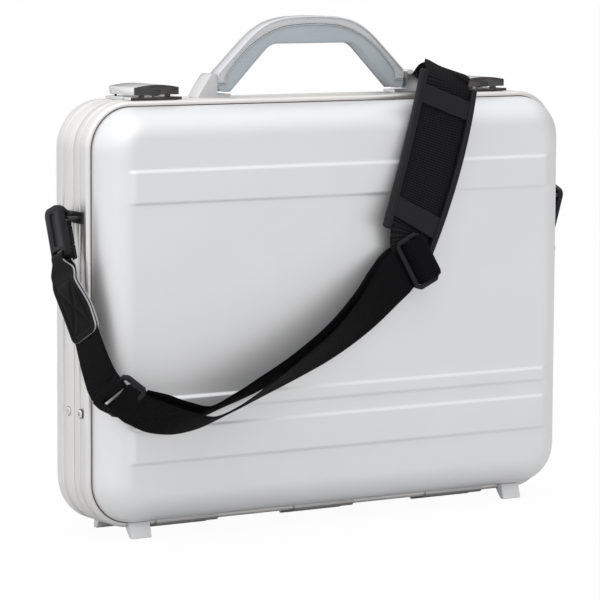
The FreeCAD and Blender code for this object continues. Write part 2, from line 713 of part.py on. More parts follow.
stay_lift = dim.stay_rise - hinge_height
stay_length = hypotenuse(stay_lift, dim.stay_offset)
elbow_height = dim.stay_rise + stay_lift
frame_inside = shell_side - dim.frame_wall
back_link_outer = frame_inside - dim.stay_layer
front_link_outer = back_link_outer - dim.stay_thickness - dim.stay_layer


def link_body(name, side, sign, outer):
    """A flat link from the screw at one frame to the elbow, with rounded ends."""
    body = doc.addObject("PartDesign::Body", name)
    lift = (outer - dim.stay_thickness / 2) * side
    across = dim.stay_width / 2 / stay_length
    shift_y, shift_z = stay_lift * across, dim.stay_offset * sign * across
    foot_y = dim.stay_offset * sign
    strip = sketch_on(body, "YZ_Plane", name + "_strip", lift)
    polygon(strip, [(foot_y - shift_y, dim.stay_rise - shift_z),
                    (foot_y + shift_y, dim.stay_rise + shift_z),
                    (shift_y, elbow_height + shift_z), (-shift_y, elbow_height - shift_z)])
    doc.recompute()
    pad(body, strip, dim.stay_thickness, midplane=True)
    for word, y, z in (("foot", foot_y, dim.stay_rise), ("elbow", 0, elbow_height)):
        end = sketch_on(body, "YZ_Plane", "%s_%s" % (name, word), lift)
        circle_at(end, y, z, dim.stay_width / 2)
        doc.recompute()
        pad(body, end, dim.stay_thickness, midplane=True)
    hole = sketch_on(body, "YZ_Plane", name + "_hole", lift)
    circle_at(hole, foot_y, dim.stay_rise, dim.rivet_radius + dim.pin_play)
    doc.recompute()
    pocket(body, hole, dim.stay_thickness + 1, midplane=True)
    return body


def along_x(name, side, near, far, y, z, radius):
    """A rod between two distances from the middle, on one side of the case."""
    first_end = near if side > 0 else -far
    return rod(name, first_end, y, z, radius, far - near, "x")


for side, word in ((-1, "left"), (1, "right")):
    link = link_body("stay_back_link_" + word, side, 1, back_link_outer)
    rivet_end = front_link_outer - dim.stay_thickness - dim.stay_layer
    shank = along_x("stay_rivet_" + word, side, rivet_end, back_link_outer, 0, elbow_height,
                    dim.rivet_radius)
    head = along_x("stay_rivet_head_" + word, side, rivet_end - 0.8, rivet_end, 0, elbow_height,
                   dim.rivet_head)
    keep("stay_back_" + word, combine("Fuse", "stay_back_" + word, link, shank, head))
    other = link_body("stay_front_link_" + word, side, -1, front_link_outer)
    elbow_room = along_x("stay_room_" + word, side, front_link_outer - dim.stay_thickness - 1,
                         front_link_outer + 1, 0, elbow_height,
                         dim.rivet_radius + dim.rivet_play)
    keep("stay_front_" + word, combine("Cut", "stay_front_" + word, other, elbow_room))
    for place_word, sign, deep in (("back", 1, back_link_outer - dim.stay_thickness - 0.3),
                                   ("front", -1, front_link_outer - dim.stay_thickness - 0.3)):
        name = "stay_screw_%s_%s" % (place_word, word)
        y = dim.stay_offset * sign
        shank = along_x(name + "_shank", side, deep, frame_side - dim.screw_sink, y,
                        dim.stay_rise, dim.rivet_radius)
        head = along_x(name + "_head", side, frame_side - dim.screw_sink,
                       frame_side + dim.screw_proud, y, dim.stay_rise, dim.screw_head)
        keep(name, combine("Fuse", name, shank, head))

for label, sign in (("front_frame", -1), ("back_frame", 1)):
    body = pieces[label]
    across = sketch_on(body, "YZ_Plane", label + "_screw_hole")
    circle_at(across, dim.stay_offset * sign, dim.stay_rise, dim.rivet_radius)
    doc.recompute()
    pocket(body, across, frame_side * 2 + 2, midplane=True)
    for side, word in ((-1, "left"), (1, "right")):
        sink = sketch_on(body, "YZ_Plane", "%s_sink_%s" % (label, word), frame_side * side)
        circle_at(sink, dim.stay_offset * sign, dim.stay_rise, dim.screw_head)
        doc.recompute()
        pocket(body, sink, dim.screw_sink * 2, midplane=True)


# ---------------------------------------------------------------- strap anchors and clips

anchor_side = frame_side + dim.anchor_reach
CLIP_LEAN = math.radians(20.0)


def anchor(side, word):
    """A wire staple on a plate that is fixed to the lid's frame and clears the base's frame."""
    low = dim.anchor_height - dim.anchor_wire - dim.anchor_rim
    tall = (dim.anchor_wire + dim.anchor_rim) * 2
    front = -dim.anchor_front - dim.anchor_wire - dim.anchor_rim
    back = dim.anchor_back + dim.anchor_wire + dim.anchor_rim
    plate_side = frame_side + dim.anchor_plate
    clear_side = frame_side + dim.anchor_relief
    solids = []
    for name, inner, start, end in (("fixed", frame_side, front, -half_gap),
                                    ("clear", clear_side, -half_gap, back)):
        left = inner if side > 0 else -plate_side
        solids.append(block("anchor_%s_%s" % (name, word), left, start, low, plate_side - inner,
                            end - start, tall))
    for number, y in enumerate((-dim.anchor_front, dim.anchor_back)):
        solids.append(along_x("anchor_leg%d_%s" % (number, word), side, clear_side, anchor_side,
                              y, dim.anchor_height, dim.anchor_wire))
        knee = doc.addObject("Part::Sphere", "anchor_knee%d_%s" % (number, word))
        bind(knee, "Radius", dim.anchor_wire)
        place(knee, anchor_side * side, y, dim.anchor_height)
        solids.append(knee)
    bar = rod("anchor_bar_" + word, anchor_side * side, -dim.anchor_front, dim.anchor_height,
              dim.anchor_wire, dim.anchor_front + dim.anchor_back, "y")
    keep("strap_anchor_" + word, combine("Fuse", "strap_anchor_" + word, bar, *solids))


hook_half = dim.hook_width / 2
hook_reach = dim.hook_gap + dim.hook_thickness
head_bottom = dim.clip_height - dim.clip_head
slot_top = dim.clip_bar + dim.clip_slot
shelf_top = slot_top + dim.shelf_thickness
clip_inner = dim.clip_width / 2 - dim.clip_wall
bar_level = (head_bottom - dim.gate_play - dim.anchor_wire / math.cos(CLIP_LEAN)
             - hook_half * math.tan(CLIP_LEAN))


def clip_placement(side):
    """The clip lies flat beside the case on the staple's bar, its foot leaning to the strap."""
    turn = FreeCAD.Rotation(Vector(0, 0, 1), 90 * side)
    turn = turn.multiply(FreeCAD.Rotation(Vector(0, 1, 0), -math.degrees(CLIP_LEAN)))
    hang = Vector(number_of(anchor_side) * side, number_of(dim.anchor_back - dim.clip_hang),
                  number_of(dim.anchor_height))
    bar = Vector(0, number_of(dim.hook_gap) / 2, number_of(bar_level))
    return FreeCAD.Placement(hang - turn.multVec(bar), turn)


def hook_part(name, outline):
    """A narrow bar behind the middle of the clip's plate, drawn from the side."""
    body = doc.addObject("PartDesign::Body", name)
    sketch = sketch_on(body, "YZ_Plane", name + "_side")
    polygon(sketch, outline)
    doc.recompute()
    pad(body, sketch, dim.hook_width, midplane=True)
    return body


def clip(side, word):
    """A moulded snap hook: a plate with a slot, a hook over the staple and a sprung gate."""
    plate = doc.addObject("PartDesign::Body", "clip_plate_" + word)
    outline = sketch_on(plate, "XZ_Plane", "clip_outline_" + word)
    rounded_outline(outline, dim.clip_width / 2, 0, dim.clip_height, dim.clip_round)
    doc.recompute()
    pad(plate, outline, dim.clip_thickness)
    slot = sketch_on(plate, "XZ_Plane", "clip_slot_" + word)
    polygon(slot, [(-clip_inner, dim.clip_bar), (clip_inner, dim.clip_bar),
                   (clip_inner, slot_top), (-clip_inner, slot_top)])
    doc.recompute()
    pocket(plate, slot, dim.clip_thickness * 2 + 2, midplane=True)
    groove = sketch_on(plate, "XZ_Plane", "clip_groove_" + word, dim.clip_thickness)
    rounded_outline(groove, dim.clip_groove / 2, shelf_top, head_bottom, dim.clip_groove / 3)
    doc.recompute()
    pocket(plate, groove, dim.clip_groove_depth)

    root, high, far = -dim.clip_thickness / 2, dim.clip_height, hook_reach
    head = hook_part("clip_head_" + word, [
        (root, high), (far - dim.clip_head, high), (far, head_bottom), (far, dim.hook_tip),
        (dim.hook_gap, dim.hook_tip), (dim.hook_gap, head_bottom), (root, head_bottom)])
    shelf = hook_part("clip_shelf_" + word, [
        (root, slot_top), (dim.hook_gap, slot_top), (dim.hook_gap, 0), (far, 0),
        (far, shelf_top), (root, shelf_top)])
    fused = keep("strap_clip_" + word, combine("Fuse", "strap_clip_" + word, plate, head, shelf))
    fused.Placement = clip_placement(side)

    knuckle = dim.hook_thickness / 2
    gate_foot = shelf_top + dim.gate_play + knuckle
    leaf = block("gate_leaf_" + word, -hook_half, dim.hook_gap, gate_foot, dim.hook_width,
                 dim.hook_thickness, dim.hook_tip - dim.gate_play - gate_foot)
    root_end = rod("gate_root_" + word, -hook_half, dim.hook_gap + knuckle, gate_foot, knuckle,
                   dim.hook_width, "x")
    gate = keep("clip_gate_" + word, combine("Fuse", "clip_gate_" + word, leaf, root_end))
    gate.Placement = clip_placement(side)


for side, word in ((-1, "left"), (1, "right")):
    anchor(side, word)
    clip(side, word)


# ---------------------------------------------------------------- webbing

def frame_at(stations, index):
    """Directions of one station of a band: across its width, and out of its face."""
    before = stations[max(index - 1, 0)][0]
    after = stations[min(index + 1, len(stations) - 1)][0]
    run = Vector(*after) - Vector(*before)
    run.normalize()
    across = Vector(*stations[index][1])
    across = across - run * across.dot(run)
    across.normalize()
    return across, run.cross(across)


def band_solid(name, stations, width, thickness):
    """A flat band through stations: centre, direction across, and optionally its own width."""
    sections = []
    for index, station in enumerate(stations):
        centre = Vector(*station[0])
        across, out = frame_at(stations, index)
        half = (station[2] if len(station) > 2 else width) / 2
        corners = [centre + across * (half * a) + out * (thickness / 2 * b)
                   for a, b in ((-1, -1), (1, -1), (1, 1), (-1, 1))]
        sections.append(Part.makePolygon(corners + corners[:1]))
    item = doc.addObject("Part::Feature", name)
    item.Shape = Part.makeLoft(sections, True, True)
    return item


def band(label, stations, width, thickness):
    return keep(label, band_solid(label, stations, width, thickness))


def tab(side, word, lower):
    """A doubled tab: a narrow loop round the clip's bar that widens to the webbing."""
    hanging = clip_placement(side)
    across = tuple(hanging.Rotation.multVec(Vector(1, 0, 0)))
    ply, play, deep = dim.tab_ply, dim.tab_play, dim.clip_thickness
    neck = (clip_inner - dim.tab_side_play) * 2
    outer = block("tab_outer_" + word, neck / -2, -deep - play - ply, -play - ply, neck,
                  deep + (play + ply) * 2, dim.clip_bar + (play + ply) * 2)
    inner = block("tab_inner_" + word, -neck, -deep - play, -play, neck * 2, deep + play * 2,
                  dim.clip_bar + play * 2)
    loop = combine("Cut", "tab_loop_" + word, outer, inner)
    loop.Placement = hanging
    start = -number_of(play + ply / 2)
    depth = -number_of(deep) / 2
    upper = [(tuple(hanging.multVec(Vector(0, depth, start - fall))), across, width)
             for fall, width in ((0, neck.value), (6, neck.value + 2), (13, 32.0), (21, web))]
    run = band_solid("tab_run_" + word, upper + lower, web, number_of(dim.tab_thickness))
    keep("strap_tab_" + word, combine("Fuse", "strap_tab_" + word, run, loop))


side_x = number_of(frame_side)
face_y = -number_of(front_face)
rear_y = number_of(back_face)
top_z = number_of(frame_top)
web = number_of(dim.web_width)
thin = number_of(dim.web_thickness)

LEFT_TAB = [
    ((-side_x - 11, -27.5, 185), (0.08, -0.89, 0.44)),
    ((-side_x - 8.5, -37, 166), (0.05, -0.88, 0.48)),
]
LEFT_WEB = [
    ((-side_x - 8.4, -37.6, 164.6), (0.05, -0.88, 0.48)),
    ((-side_x - 7.0, -45, 149), (0.12, -0.88, 0.44)),
    ((-side_x - 4.5, -52, 134), (0.2, -0.86, 0.46)),
    ((-side_x - 3.0, -54.5, 129), (0.22, -0.85, 0.46)),
]
FRONT_OUTER = [
    ((-210, face_y - 21, 111.5), (0.05, -0.72, 0.69)),
    ((-194, face_y - 25, 104), (-0.1, -0.66, 0.74)),
    ((-172, face_y - 27, 98), (-0.15, -0.78, 0.6)),
    ((-150, face_y - 28, 97), (-0.1, -0.92, 0.38)),
    ((-124, face_y - 27, 105), (-0.22, -0.93, 0.3)),
    ((-98, face_y - 25, 116), (-0.28, -0.88, 0.38)),
    ((-62, face_y - 22, 132), (-0.3, -0.78, 0.55)),
    ((-24, face_y - 19, 151), (-0.36, -0.62, 0.7)),
    ((8, face_y - 16, 173), (-0.42, -0.36, 0.83)),
    ((32, face_y - 13.5, 194), (-0.38, -0.05, 0.92)),
    ((38.4, face_y - 13, 199.5), (-0.3, 0.08, 0.95)),
]
FRONT_INNER = [
    ((-206.5, face_y - 18, 114.5), (0.05, -0.72, 0.69)),
    ((-192, face_y - 20.5, 110), (-0.1, -0.66, 0.74)),
    ((-172, face_y - 21.5, 105), (-0.15, -0.78, 0.6)),
    ((-150, face_y - 21, 105.5), (-0.1, -0.92, 0.38)),
    ((-124, face_y - 20.5, 115), (-0.22, -0.93, 0.3)),
    ((-98, face_y - 19.5, 125), (-0.28, -0.88, 0.38)),
    ((-64, face_y - 17.5, 138.5), (-0.3, -0.78, 0.55)),
    ((-27, face_y - 15, 156), (-0.36, -0.62, 0.7)),
    ((4, face_y - 12.5, 176), (-0.42, -0.36, 0.83)),
    ((27, face_y - 10.3, 194), (-0.38, -0.05, 0.92)),
    ((38.2, face_y - 9.2, 203.8), (-0.3, 0.08, 0.95)),
]
BEHIND = [
    ((125, -6.4, 374.4), (0.82, -0.54, -0.18)),
    ((136, 12, 372.5), (0.84, -0.52, -0.06)),
    ((149, 32, 367), (0.89, -0.44, 0.0)),
    ((157, 48, 356), (0.93, -0.35, 0.05)),
    ((163, rear_y + 4, 338), (0.97, -0.2, 0.12)),
    ((168, rear_y + 7, 312), (0.98, -0.1, 0.15)),
    ((176, rear_y + 7, 262), (0.98, 0.0, 0.17)),
    ((185, rear_y + 8, 210), (0.97, 0.03, 0.2)),
    ((196, rear_y + 10, 165), (0.92, 0.08, 0.38)),
    ((210, rear_y + 11, 135), (0.68, 0.2, 0.7)),
    ((224, rear_y + 8.5, 119), (0.36, 0.36, 0.86)),
    ((235.1, rear_y + 3.2, 112.6), (0.15, 0.5, 0.85)),
]
RIGHT_WEB = [
    ((236.4, rear_y + 2.6, 112.3), (0.1, 0.5, 0.86)),
    ((side_x + 13, rear_y - 5.5, 110.5), (0.02, 0.55, 0.83)),
    ((side_x + 14, 41, 120), (-0.05, 0.7, 0.7)),
    ((side_x + 12, 32.5, 140), (-0.07, 0.85, 0.5)),
    ((side_x + 9.4, 28.1, 163), (-0.05, 0.97, 0.2)),
]
RIGHT_TAB = [
    ((side_x + 11.5, 24.5, 187), (-0.03, 0.97, 0.22)),
    ((side_x + 9.4, 27.8, 164.3), (-0.05, 0.97, 0.2)),
]

tab(-1, "left", LEFT_TAB)
band("strap_web_side", LEFT_WEB, web, thin)
band("strap_web_outer", FRONT_OUTER, web, thin)
band("strap_web_inner", FRONT_INNER, web, thin)
band("strap_web_rear", BEHIND, web, thin)
band("strap_web_right", RIGHT_WEB, web, thin)
tab(1, "right", RIGHT_TAB)


def placed(centre, along, out):
    """A placement whose X axis lies along a direction and whose Y axis points out of a face."""
    x_axis = Vector(*along)
    x_axis.normalize()
    y_axis = Vector(*out)
    y_axis = y_axis - x_axis * y_axis.dot(x_axis)
    y_axis.normalize()
    z_axis = x_axis.cross(y_axis)
    turn = FreeCAD.Rotation(x_axis, y_axis, z_axis, "XYZ")
    return FreeCAD.Placement(Vector(*centre), turn)


def three_bar_slide(label, centre, along, out):
    """A flat moulded slide with three bars and two slots for the webbing."""
    body = new_body(label)
    half, reach = dim.slider_width / 2, dim.slider_length / 2
    outline = sketch_on(body, "XZ_Plane", label + "_outline")
    cut = dim.slider_bar
    polygon(outline, [(-half, cut - reach), (cut - half, -reach), (half - cut, -reach),
                      (half, cut - reach), (half, reach - cut), (half - cut, reach),
                      (cut - half, reach), (-half, reach - cut)])
    doc.recompute()
    pad(body, outline, dim.slider_thickness, midplane=True)
    for word, sign in (("low", -1), ("high", 1)):
        slot = sketch_on(body, "XZ_Plane", "%s_%s" % (label, word))
        near, far = dim.slider_bar / 2 * sign, (reach - dim.slider_bar) * sign
        side = half - dim.slider_bar
        polygon(slot, [(-side, near), (side, near), (side, far), (-side, far)])
        doc.recompute()
        pocket(body, slot, dim.slider_thickness + 1, midplane=True)
    body.Placement = placed(centre, along, out)


def on_front(across, stand, rise):
    """A point out from the lid's face, from sizes of the sheet."""
    return (number_of(across), number_of(-front_face - stand), number_of(rise))


three_bar_slide("strap_slider",
                on_front(dim.slider_inset - frame_side, dim.slider_stand, dim.slider_rise),
                (0.16, -0.82, 0.55), (-0.66, -0.5, -0.55))
three_bar_slide("strap_adjuster",
                on_front(dim.adjuster_across, dim.adjuster_stand, dim.adjuster_rise),
                (-0.27, 0.09, 0.96), (-0.2, -0.98, 0.0))


def shoulder_pad(centre, along, out):
    """A moulded frame with two bridges over the webbing that runs through its length."""
    width, length, deep = dim.pad_width, dim.pad_length, dim.pad_thickness
    inner = width / 2 - dim.pad_rim
    end = length / 2 - dim.pad_end
    window = end - dim.pad_bridge
    solid = block("pad_block", -width / 2, -deep, -length / 2, width, deep, length)
    cuts = [block("pad_channel", -inner, dim.pad_bridge_depth - deep, -length / 2 - 1,
                  inner * 2, dim.pad_channel, length + 2),
            block("pad_window", -inner, -deep - 1, -window, inner * 2, deep + 2, window * 2),
            block("pad_end_low", -inner, -deep - 1, -length / 2 - 1, inner * 2, deep + 2,
                  dim.pad_end + 1),
            block("pad_end_high", -inner, -deep - 1, end, inner * 2, deep + 2, dim.pad_end + 1)]
    frame = keep("pad_frame", combine("Cut", "pad_frame", solid, *cuts))
    frame.Placement = placed(centre, along, out)
    level = number_of(dim.pad_bridge_depth + dim.pad_channel / 2 - deep)
    reach = number_of(length / 2)
    inside = [frame.Placement.multVec(Vector(0, level, z)) for z in (-reach, 0, reach)]
    return [(tuple(point), along) for point in inside]


BEHIND_ADJUSTER = [
    ((57, face_y - 5.9, 204), (0.75, 0.05, -0.66)),
    ((51.2, face_y - 6.8, 218.5), (0.9, 0.02, -0.42)),
]
OVER_TOP = [
    ((110, face_y + 6, 371.5), (0.88, -0.3, -0.32)),
    ((115, face_y + 22, 375.5), (0.84, -0.46, -0.26)),
    ((124, -8, 374.5), (0.82, -0.54, -0.18)),
]
through_pad = shoulder_pad(on_front(dim.pad_across, dim.pad_stand, dim.pad_rise),
                           (0.92, 0.0, -0.375), (-0.01, 1.0, -0.03))
band("strap_web_pad", BEHIND_ADJUSTER + through_pad + OVER_TOP, web, thin)


# ---------------------------------------------------------------- checks and export

doc.recompute()
for item in doc.Objects:
    if "Invalid" in item.State or "Error" in item.State:
        raise RuntimeError("%s did not compute: %s" % (item.Label, item.State))
os.makedirs("parts", exist_ok=True)
for label, item in pieces.items():
    shape = item.Shape
    if shape.isNull() or not shape.isValid() or not shape.Solids:
        raise RuntimeError("%s has no sound solid" % label)
    shape.exportStep(os.path.join("parts", label + ".step"))
print("%d pieces" % len(pieces))
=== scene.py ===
import contextlib
import math

import bmesh
import bpy
from mathutils import Matrix, Vector

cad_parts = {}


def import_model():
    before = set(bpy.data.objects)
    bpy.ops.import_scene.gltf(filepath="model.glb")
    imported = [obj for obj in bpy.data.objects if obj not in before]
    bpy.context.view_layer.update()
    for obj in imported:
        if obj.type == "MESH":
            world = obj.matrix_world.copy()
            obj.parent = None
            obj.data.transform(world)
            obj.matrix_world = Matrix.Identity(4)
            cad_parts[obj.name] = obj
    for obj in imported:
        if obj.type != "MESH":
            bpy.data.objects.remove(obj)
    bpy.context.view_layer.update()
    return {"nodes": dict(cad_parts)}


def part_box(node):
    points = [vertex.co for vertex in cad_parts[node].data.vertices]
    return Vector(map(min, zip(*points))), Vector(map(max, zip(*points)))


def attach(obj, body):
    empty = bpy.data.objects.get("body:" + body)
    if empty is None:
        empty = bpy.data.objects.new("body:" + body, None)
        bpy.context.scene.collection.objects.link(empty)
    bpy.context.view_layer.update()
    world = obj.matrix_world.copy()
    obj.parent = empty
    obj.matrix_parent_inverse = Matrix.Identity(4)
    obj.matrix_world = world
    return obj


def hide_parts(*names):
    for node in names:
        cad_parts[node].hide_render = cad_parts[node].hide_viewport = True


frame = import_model()
MM = 0.001
CREASE = 35.0           # degrees: sharper edges stay sharp, where no other angle is given
SOFTEN = 40.0           # degrees: a CAD piece's edges sharper than this are rounded
SIDES = ("left", "right")
PLACES = ("left", "middle", "right")
HALVES = (("front", "lid"), ("back", "base"))


def millimetres(label):
    """The low and high corner of a CAD node's box, to a thousandth of a millimetre."""
    return [[round(value / MM, 3) for value in corner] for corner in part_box(label)]


# ------------ mesh helpers

def in_scene(name, data):
    """A new object of the scene that holds the data."""
    item = bpy.data.objects.new(name, data)
    bpy.context.scene.collection.objects.link(item)
    return item


@contextlib.contextmanager
def editing(mesh):
    """A bmesh of the mesh, which goes back into it with every face turned outwards."""
    bm = bmesh.new()
    bm.from_mesh(mesh)
    yield bm
    bmesh.ops.recalc_face_normals(bm, faces=bm.faces)
    bm.to_mesh(mesh)
    bm.free()


def new_object(name, verts, faces, angle=CREASE):
    """A mesh object from millimetre points, smooth except at edges sharper than the angle."""
    mesh = bpy.data.meshes.new(name)
    mesh.from_pydata([Vector(v) * MM for v in verts], [], faces)
    mesh.validate()
    item = in_scene(name, mesh)
    tidy(item, angle)
    return item


def tidy(item, angle, merge=1e-6):
    """Join doubled points, dissolve what has no size and shade the mesh smooth."""
    with editing(item.data) as bm:
        bmesh.ops.remove_doubles(bm, verts=bm.verts, dist=merge)
        bmesh.ops.dissolve_degenerate(bm, dist=1e-7, edges=bm.edges)
    smooth(item, angle)


def smooth(item, angle):
    """Shade smooth, except at edges sharper than the angle."""
    item.data.polygons.foreach_set("use_smooth", [True] * len(item.data.polygons))
    item.data.set_sharp_from_angle(angle=math.radians(angle))
    item.data.update()


def apply_modifiers(item):
    """Replace the mesh by what its modifiers make of it."""
    graph = bpy.context.evaluated_depsgraph_get()
    made = bpy.data.meshes.new_from_object(item.evaluated_get(graph))
    old = item.data
    item.modifiers.clear()
    item.data = made
    bpy.data.meshes.remove(old)


def ring_faces(rings, count):
    """Quads between neighbouring rings that have the same number of points."""
    faces = []
    for low in range(0, (rings - 1) * count, count):
        for i in range(count):
            j = (i + 1) % count
            faces.append((low + i, low + j, low + count + j, low + count + i))
    return faces


def loft(name, rings, caps=True, angle=CREASE):
    """A mesh object of quads between rings, and a face at each end where it has caps."""
    count = len(rings[0])
    verts = [point for ring in rings for point in ring]
    faces = ring_faces(len(rings), count)
    if caps:
        faces.append(tuple(range(count)))
        faces.append(tuple(range(len(verts) - count, len(verts))))
    return new_object(name, verts, faces, angle)


def polished(label, width, segments=3, reshape=None):
    """A copy of a CAD node with clean faces and softened edges; reshape moves its corners."""
    mesh = frame["nodes"][label].data.copy()
    if reshape:
        for vertex in mesh.vertices:
            vertex.co = reshape(vertex.co)
    item = in_scene(label + "_soft", mesh)
    with editing(mesh) as bm:
        bmesh.ops.remove_doubles(bm, verts=bm.verts, dist=1e-5)
        bmesh.ops.dissolve_limit(bm, angle_limit=math.radians(1.0), verts=bm.verts, edges=bm.edges)
    bevel = item.modifiers.new("soften", "BEVEL")
    bevel.width = width * MM
    bevel.segments = segments
    bevel.limit_method = "ANGLE"
    bevel.angle_limit = math.radians(SOFTEN)
    apply_modifiers(item)
    smooth(item, CREASE)
    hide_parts(label)
    return item


def catmull(rows, steps):
    """A smooth line through rows of numbers, with a number of steps to each span."""
    before = [2 * a - b for a, b in zip(rows[0], rows[1])]
    beyond = [2 * a - b for a, b in zip(rows[-1], rows[-2])]
    rows = [before, *rows, beyond]
    line = []
    for span in zip(rows, rows[1:], rows[2:], rows[3:]):
        for k in range(steps):
            t = k / steps
            line.append([0.5 * (2 * b + (c - a) * t + (2 * a - 5 * b + 4 * c - d) * t * t
                                + (3 * b - a - 3 * c + d) * t ** 3) for a, b, c, d in zip(*span)])
    line.append(list(rows[-2]))
    return line


def with_neighbours(points):
    """Each point of a closed 2-D outline, between the one before and the one after it."""
    points = [Vector(point) for point in points]
    return zip(points[-1:] + points[:-1], points, points[1:] + points[:1])


def inset_outline(points, distance):
    """Move a closed 2-D outline inwards (counter-clockwise points)."""
    moved = []
    for before, point, after in with_neighbours(points):
        n1 = Vector((before.y - point.y, point.x - before.x)).normalized()
        n2 = Vector((point.y - after.y, after.x - point.x)).normalized()
        way = n1 + n2
        if way.length < 1e-6:
            way = n1
        way.normalize()
        moved.append(point + way * (distance / max(way.dot(n1), 0.35)))
    return moved


def counter_clockwise(points):
    area = 0.0
    for (x1, y1), (x2, y2) in zip(points, points[1:] + points[:1]):
        area += x1 * y2 - x2 * y1
    return points if area > 0 else list(reversed(points))


def round_corners(points, radius, steps):
    """Replace each corner of a closed polygon by a curve that takes up to 0.45 of a side."""
    curved = []
    for before, corner, after in with_neighbours(points):
        back, on = before - corner, after - corner
        reach = min(radius, back.length * 0.45, on.length * 0.45)
        start, end = corner + back.normalized() * reach, corner + on.normalized() * reach
        for k in range(steps + 1):
            t = k / steps
            curved.append(start * (1 - t) ** 2 + corner * (2 * t * (1 - t)) + end * t * t)
    return curved


def smoothstep(value):
    t = min(max(value, 0.0), 1.0)
    return t * t * (3 - 2 * t)


# ------------ materials

def fill(made, **values):
    """Set a shader node's properties and inputs; an input's spaces are written as _."""
    for key, value in values.items():
        if hasattr(made, key):
            setattr(made, key, value)
        else:
            made.inputs[key.replace("_", " ")].default_value = value
    return made


def node(tree, kind, **values):
    return fill(tree.nodes.new("ShaderNode" + kind), **values)


def with_nodes(made):
    """A material or world, its node tree and the function that links two sockets of it."""
    made.use_nodes = True
    return made, made.node_tree, made.node_tree.links.new


def material(name, color, rough, metal=0.0, specular=0.5, variation=0.06, scale=1500.0,
             bump=0.01, rough_spread=0.06, blotch=18.0, sheen=0.0, coat=0.0, stretch=None):
    """A surface with fine grain in its bump and roughness, and slow variation in its colour."""
    made, tree, link = with_nodes(bpy.data.materials.new(name))
    shader = tree.nodes["Principled BSDF"]
    place = node(tree, "TexCoord")
    spread = node(tree, "Mapping")
    if stretch:
        spread.inputs["Scale"].default_value = stretch
    link(place.outputs["Object"], spread.inputs["Vector"])
    slow = node(tree, "TexNoise", Scale=blotch, Detail=4.0)
    fine = node(tree, "TexNoise", Scale=scale, Detail=3.0)
    link(place.outputs["Object"], slow.inputs["Vector"])
    link(spread.outputs["Vector"], fine.inputs["Vector"])
    ramp = node(tree, "ValToRGB")
    low = [max(c * (1 - variation), 0.0) for c in color]
    high = [min(c * (1 + variation), 1.0) for c in color]
    ramp.color_ramp.elements[0].position = 0.3
    ramp.color_ramp.elements[0].color = (*low, 1)
    ramp.color_ramp.elements[1].position = 0.7
    ramp.color_ramp.elements[1].color = (*high, 1)
    link(slow.outputs["Fac"], ramp.inputs["Fac"])
    link(ramp.outputs["Color"], shader.inputs["Base Color"])
    band = node(tree, "MapRange", To_Min=rough - rough_spread, To_Max=rough + rough_spread)
    link(fine.outputs["Fac"], band.inputs["Value"])
    link(band.outputs["Result"], shader.inputs["Roughness"])
    relief = node(tree, "Bump", Strength=1.0, Distance=bump * MM)
    link(fine.outputs["Fac"], relief.inputs["Height"])
    link(relief.outputs["Normal"], shader.inputs["Normal"])
    fill(shader, Metallic=metal, Specular_IOR_Level=specular)
    if sheen:
        fill(shader, Sheen_Weight=sheen, Sheen_Roughness=0.4)
    if coat:
        fill(shader, Coat_Weight=coat, Coat_Roughness=0.2)
    return made


ROW_SHARE, FUZZ_SHARE = 0.35, 0.8       # of the rows and the noise, next to the ribs
WEAVE_LOW, WEAVE_HIGH = -1.2, 2.0       # heights that the weave's colours run between
# the weave's valleys are painted darker and its crests lighter: painted shade and painted highlight
VALLEY_SHADE = 0.55                           # how dark the weave's valleys are


def webbing_material(name, color, pitch, rows, depth, crest_highlight=2.5):
    """Woven ribs across a band, from a map whose first axis runs along it, in millimetres; the colour
    has painted shade in the valleys and a painted highlight on the crests.
    """
    made, tree, link = with_nodes(bpy.data.materials.new(name))
    shader = tree.nodes["Principled BSDF"]
    place = node(tree, "UVMap", uv_map="weave")
    split = node(tree, "SeparateXYZ")
    link(place.outputs["UV"], split.inputs["Vector"])

    def times_plus(source, factor, added=0.0):
        """A node's output times a factor, plus a number or another output."""
        made_sum = node(tree, "Math", operation="MULTIPLY_ADD")
        link(source, made_sum.inputs[0])
        made_sum.inputs[1].default_value = factor
        if isinstance(added, float):
            made_sum.inputs[2].default_value = added
        else:
            link(added, made_sum.inputs[2])
        return made_sum.outputs[0]

    def wave(source, length):
        made_wave = node(tree, "Math", operation="SINE")
        link(times_plus(source, 2 * math.pi / length), made_wave.inputs[0])
        return made_wave.outputs[0]

    ribs = wave(split.outputs["X"], pitch)
    noise = node(tree, "TexNoise", Scale=1.3, Detail=3.0)
    link(place.outputs["UV"], noise.inputs["Vector"])
    woven = times_plus(wave(split.outputs["Y"], rows), ROW_SHARE, ribs)
    height = times_plus(noise.outputs["Fac"], FUZZ_SHARE, woven)
    relief = node(tree, "Bump", Strength=1.0, Distance=depth * MM)
    link(height, relief.inputs["Height"])
    link(relief.outputs["Normal"], shader.inputs["Normal"])
    # colour follows the relief: painted shade in the valleys, painted highlight on the crests
    ramp = node(tree, "ValToRGB")
    ramp.color_ramp.elements[0].color = (*[c * VALLEY_SHADE for c in color], 1)
    ramp.color_ramp.elements[1].color = (*[c * crest_highlight for c in color], 1)
    shade = node(tree, "MapRange", From_Min=WEAVE_LOW, From_Max=WEAVE_HIGH)
    link(height, shade.inputs["Value"])
    link(shade.outputs["Result"], ramp.inputs["Fac"])
    link(ramp.outputs["Color"], shader.inputs["Base Color"])
    fill(shader, Roughness=0.75, Specular_IOR_Level=0.06)
    return made


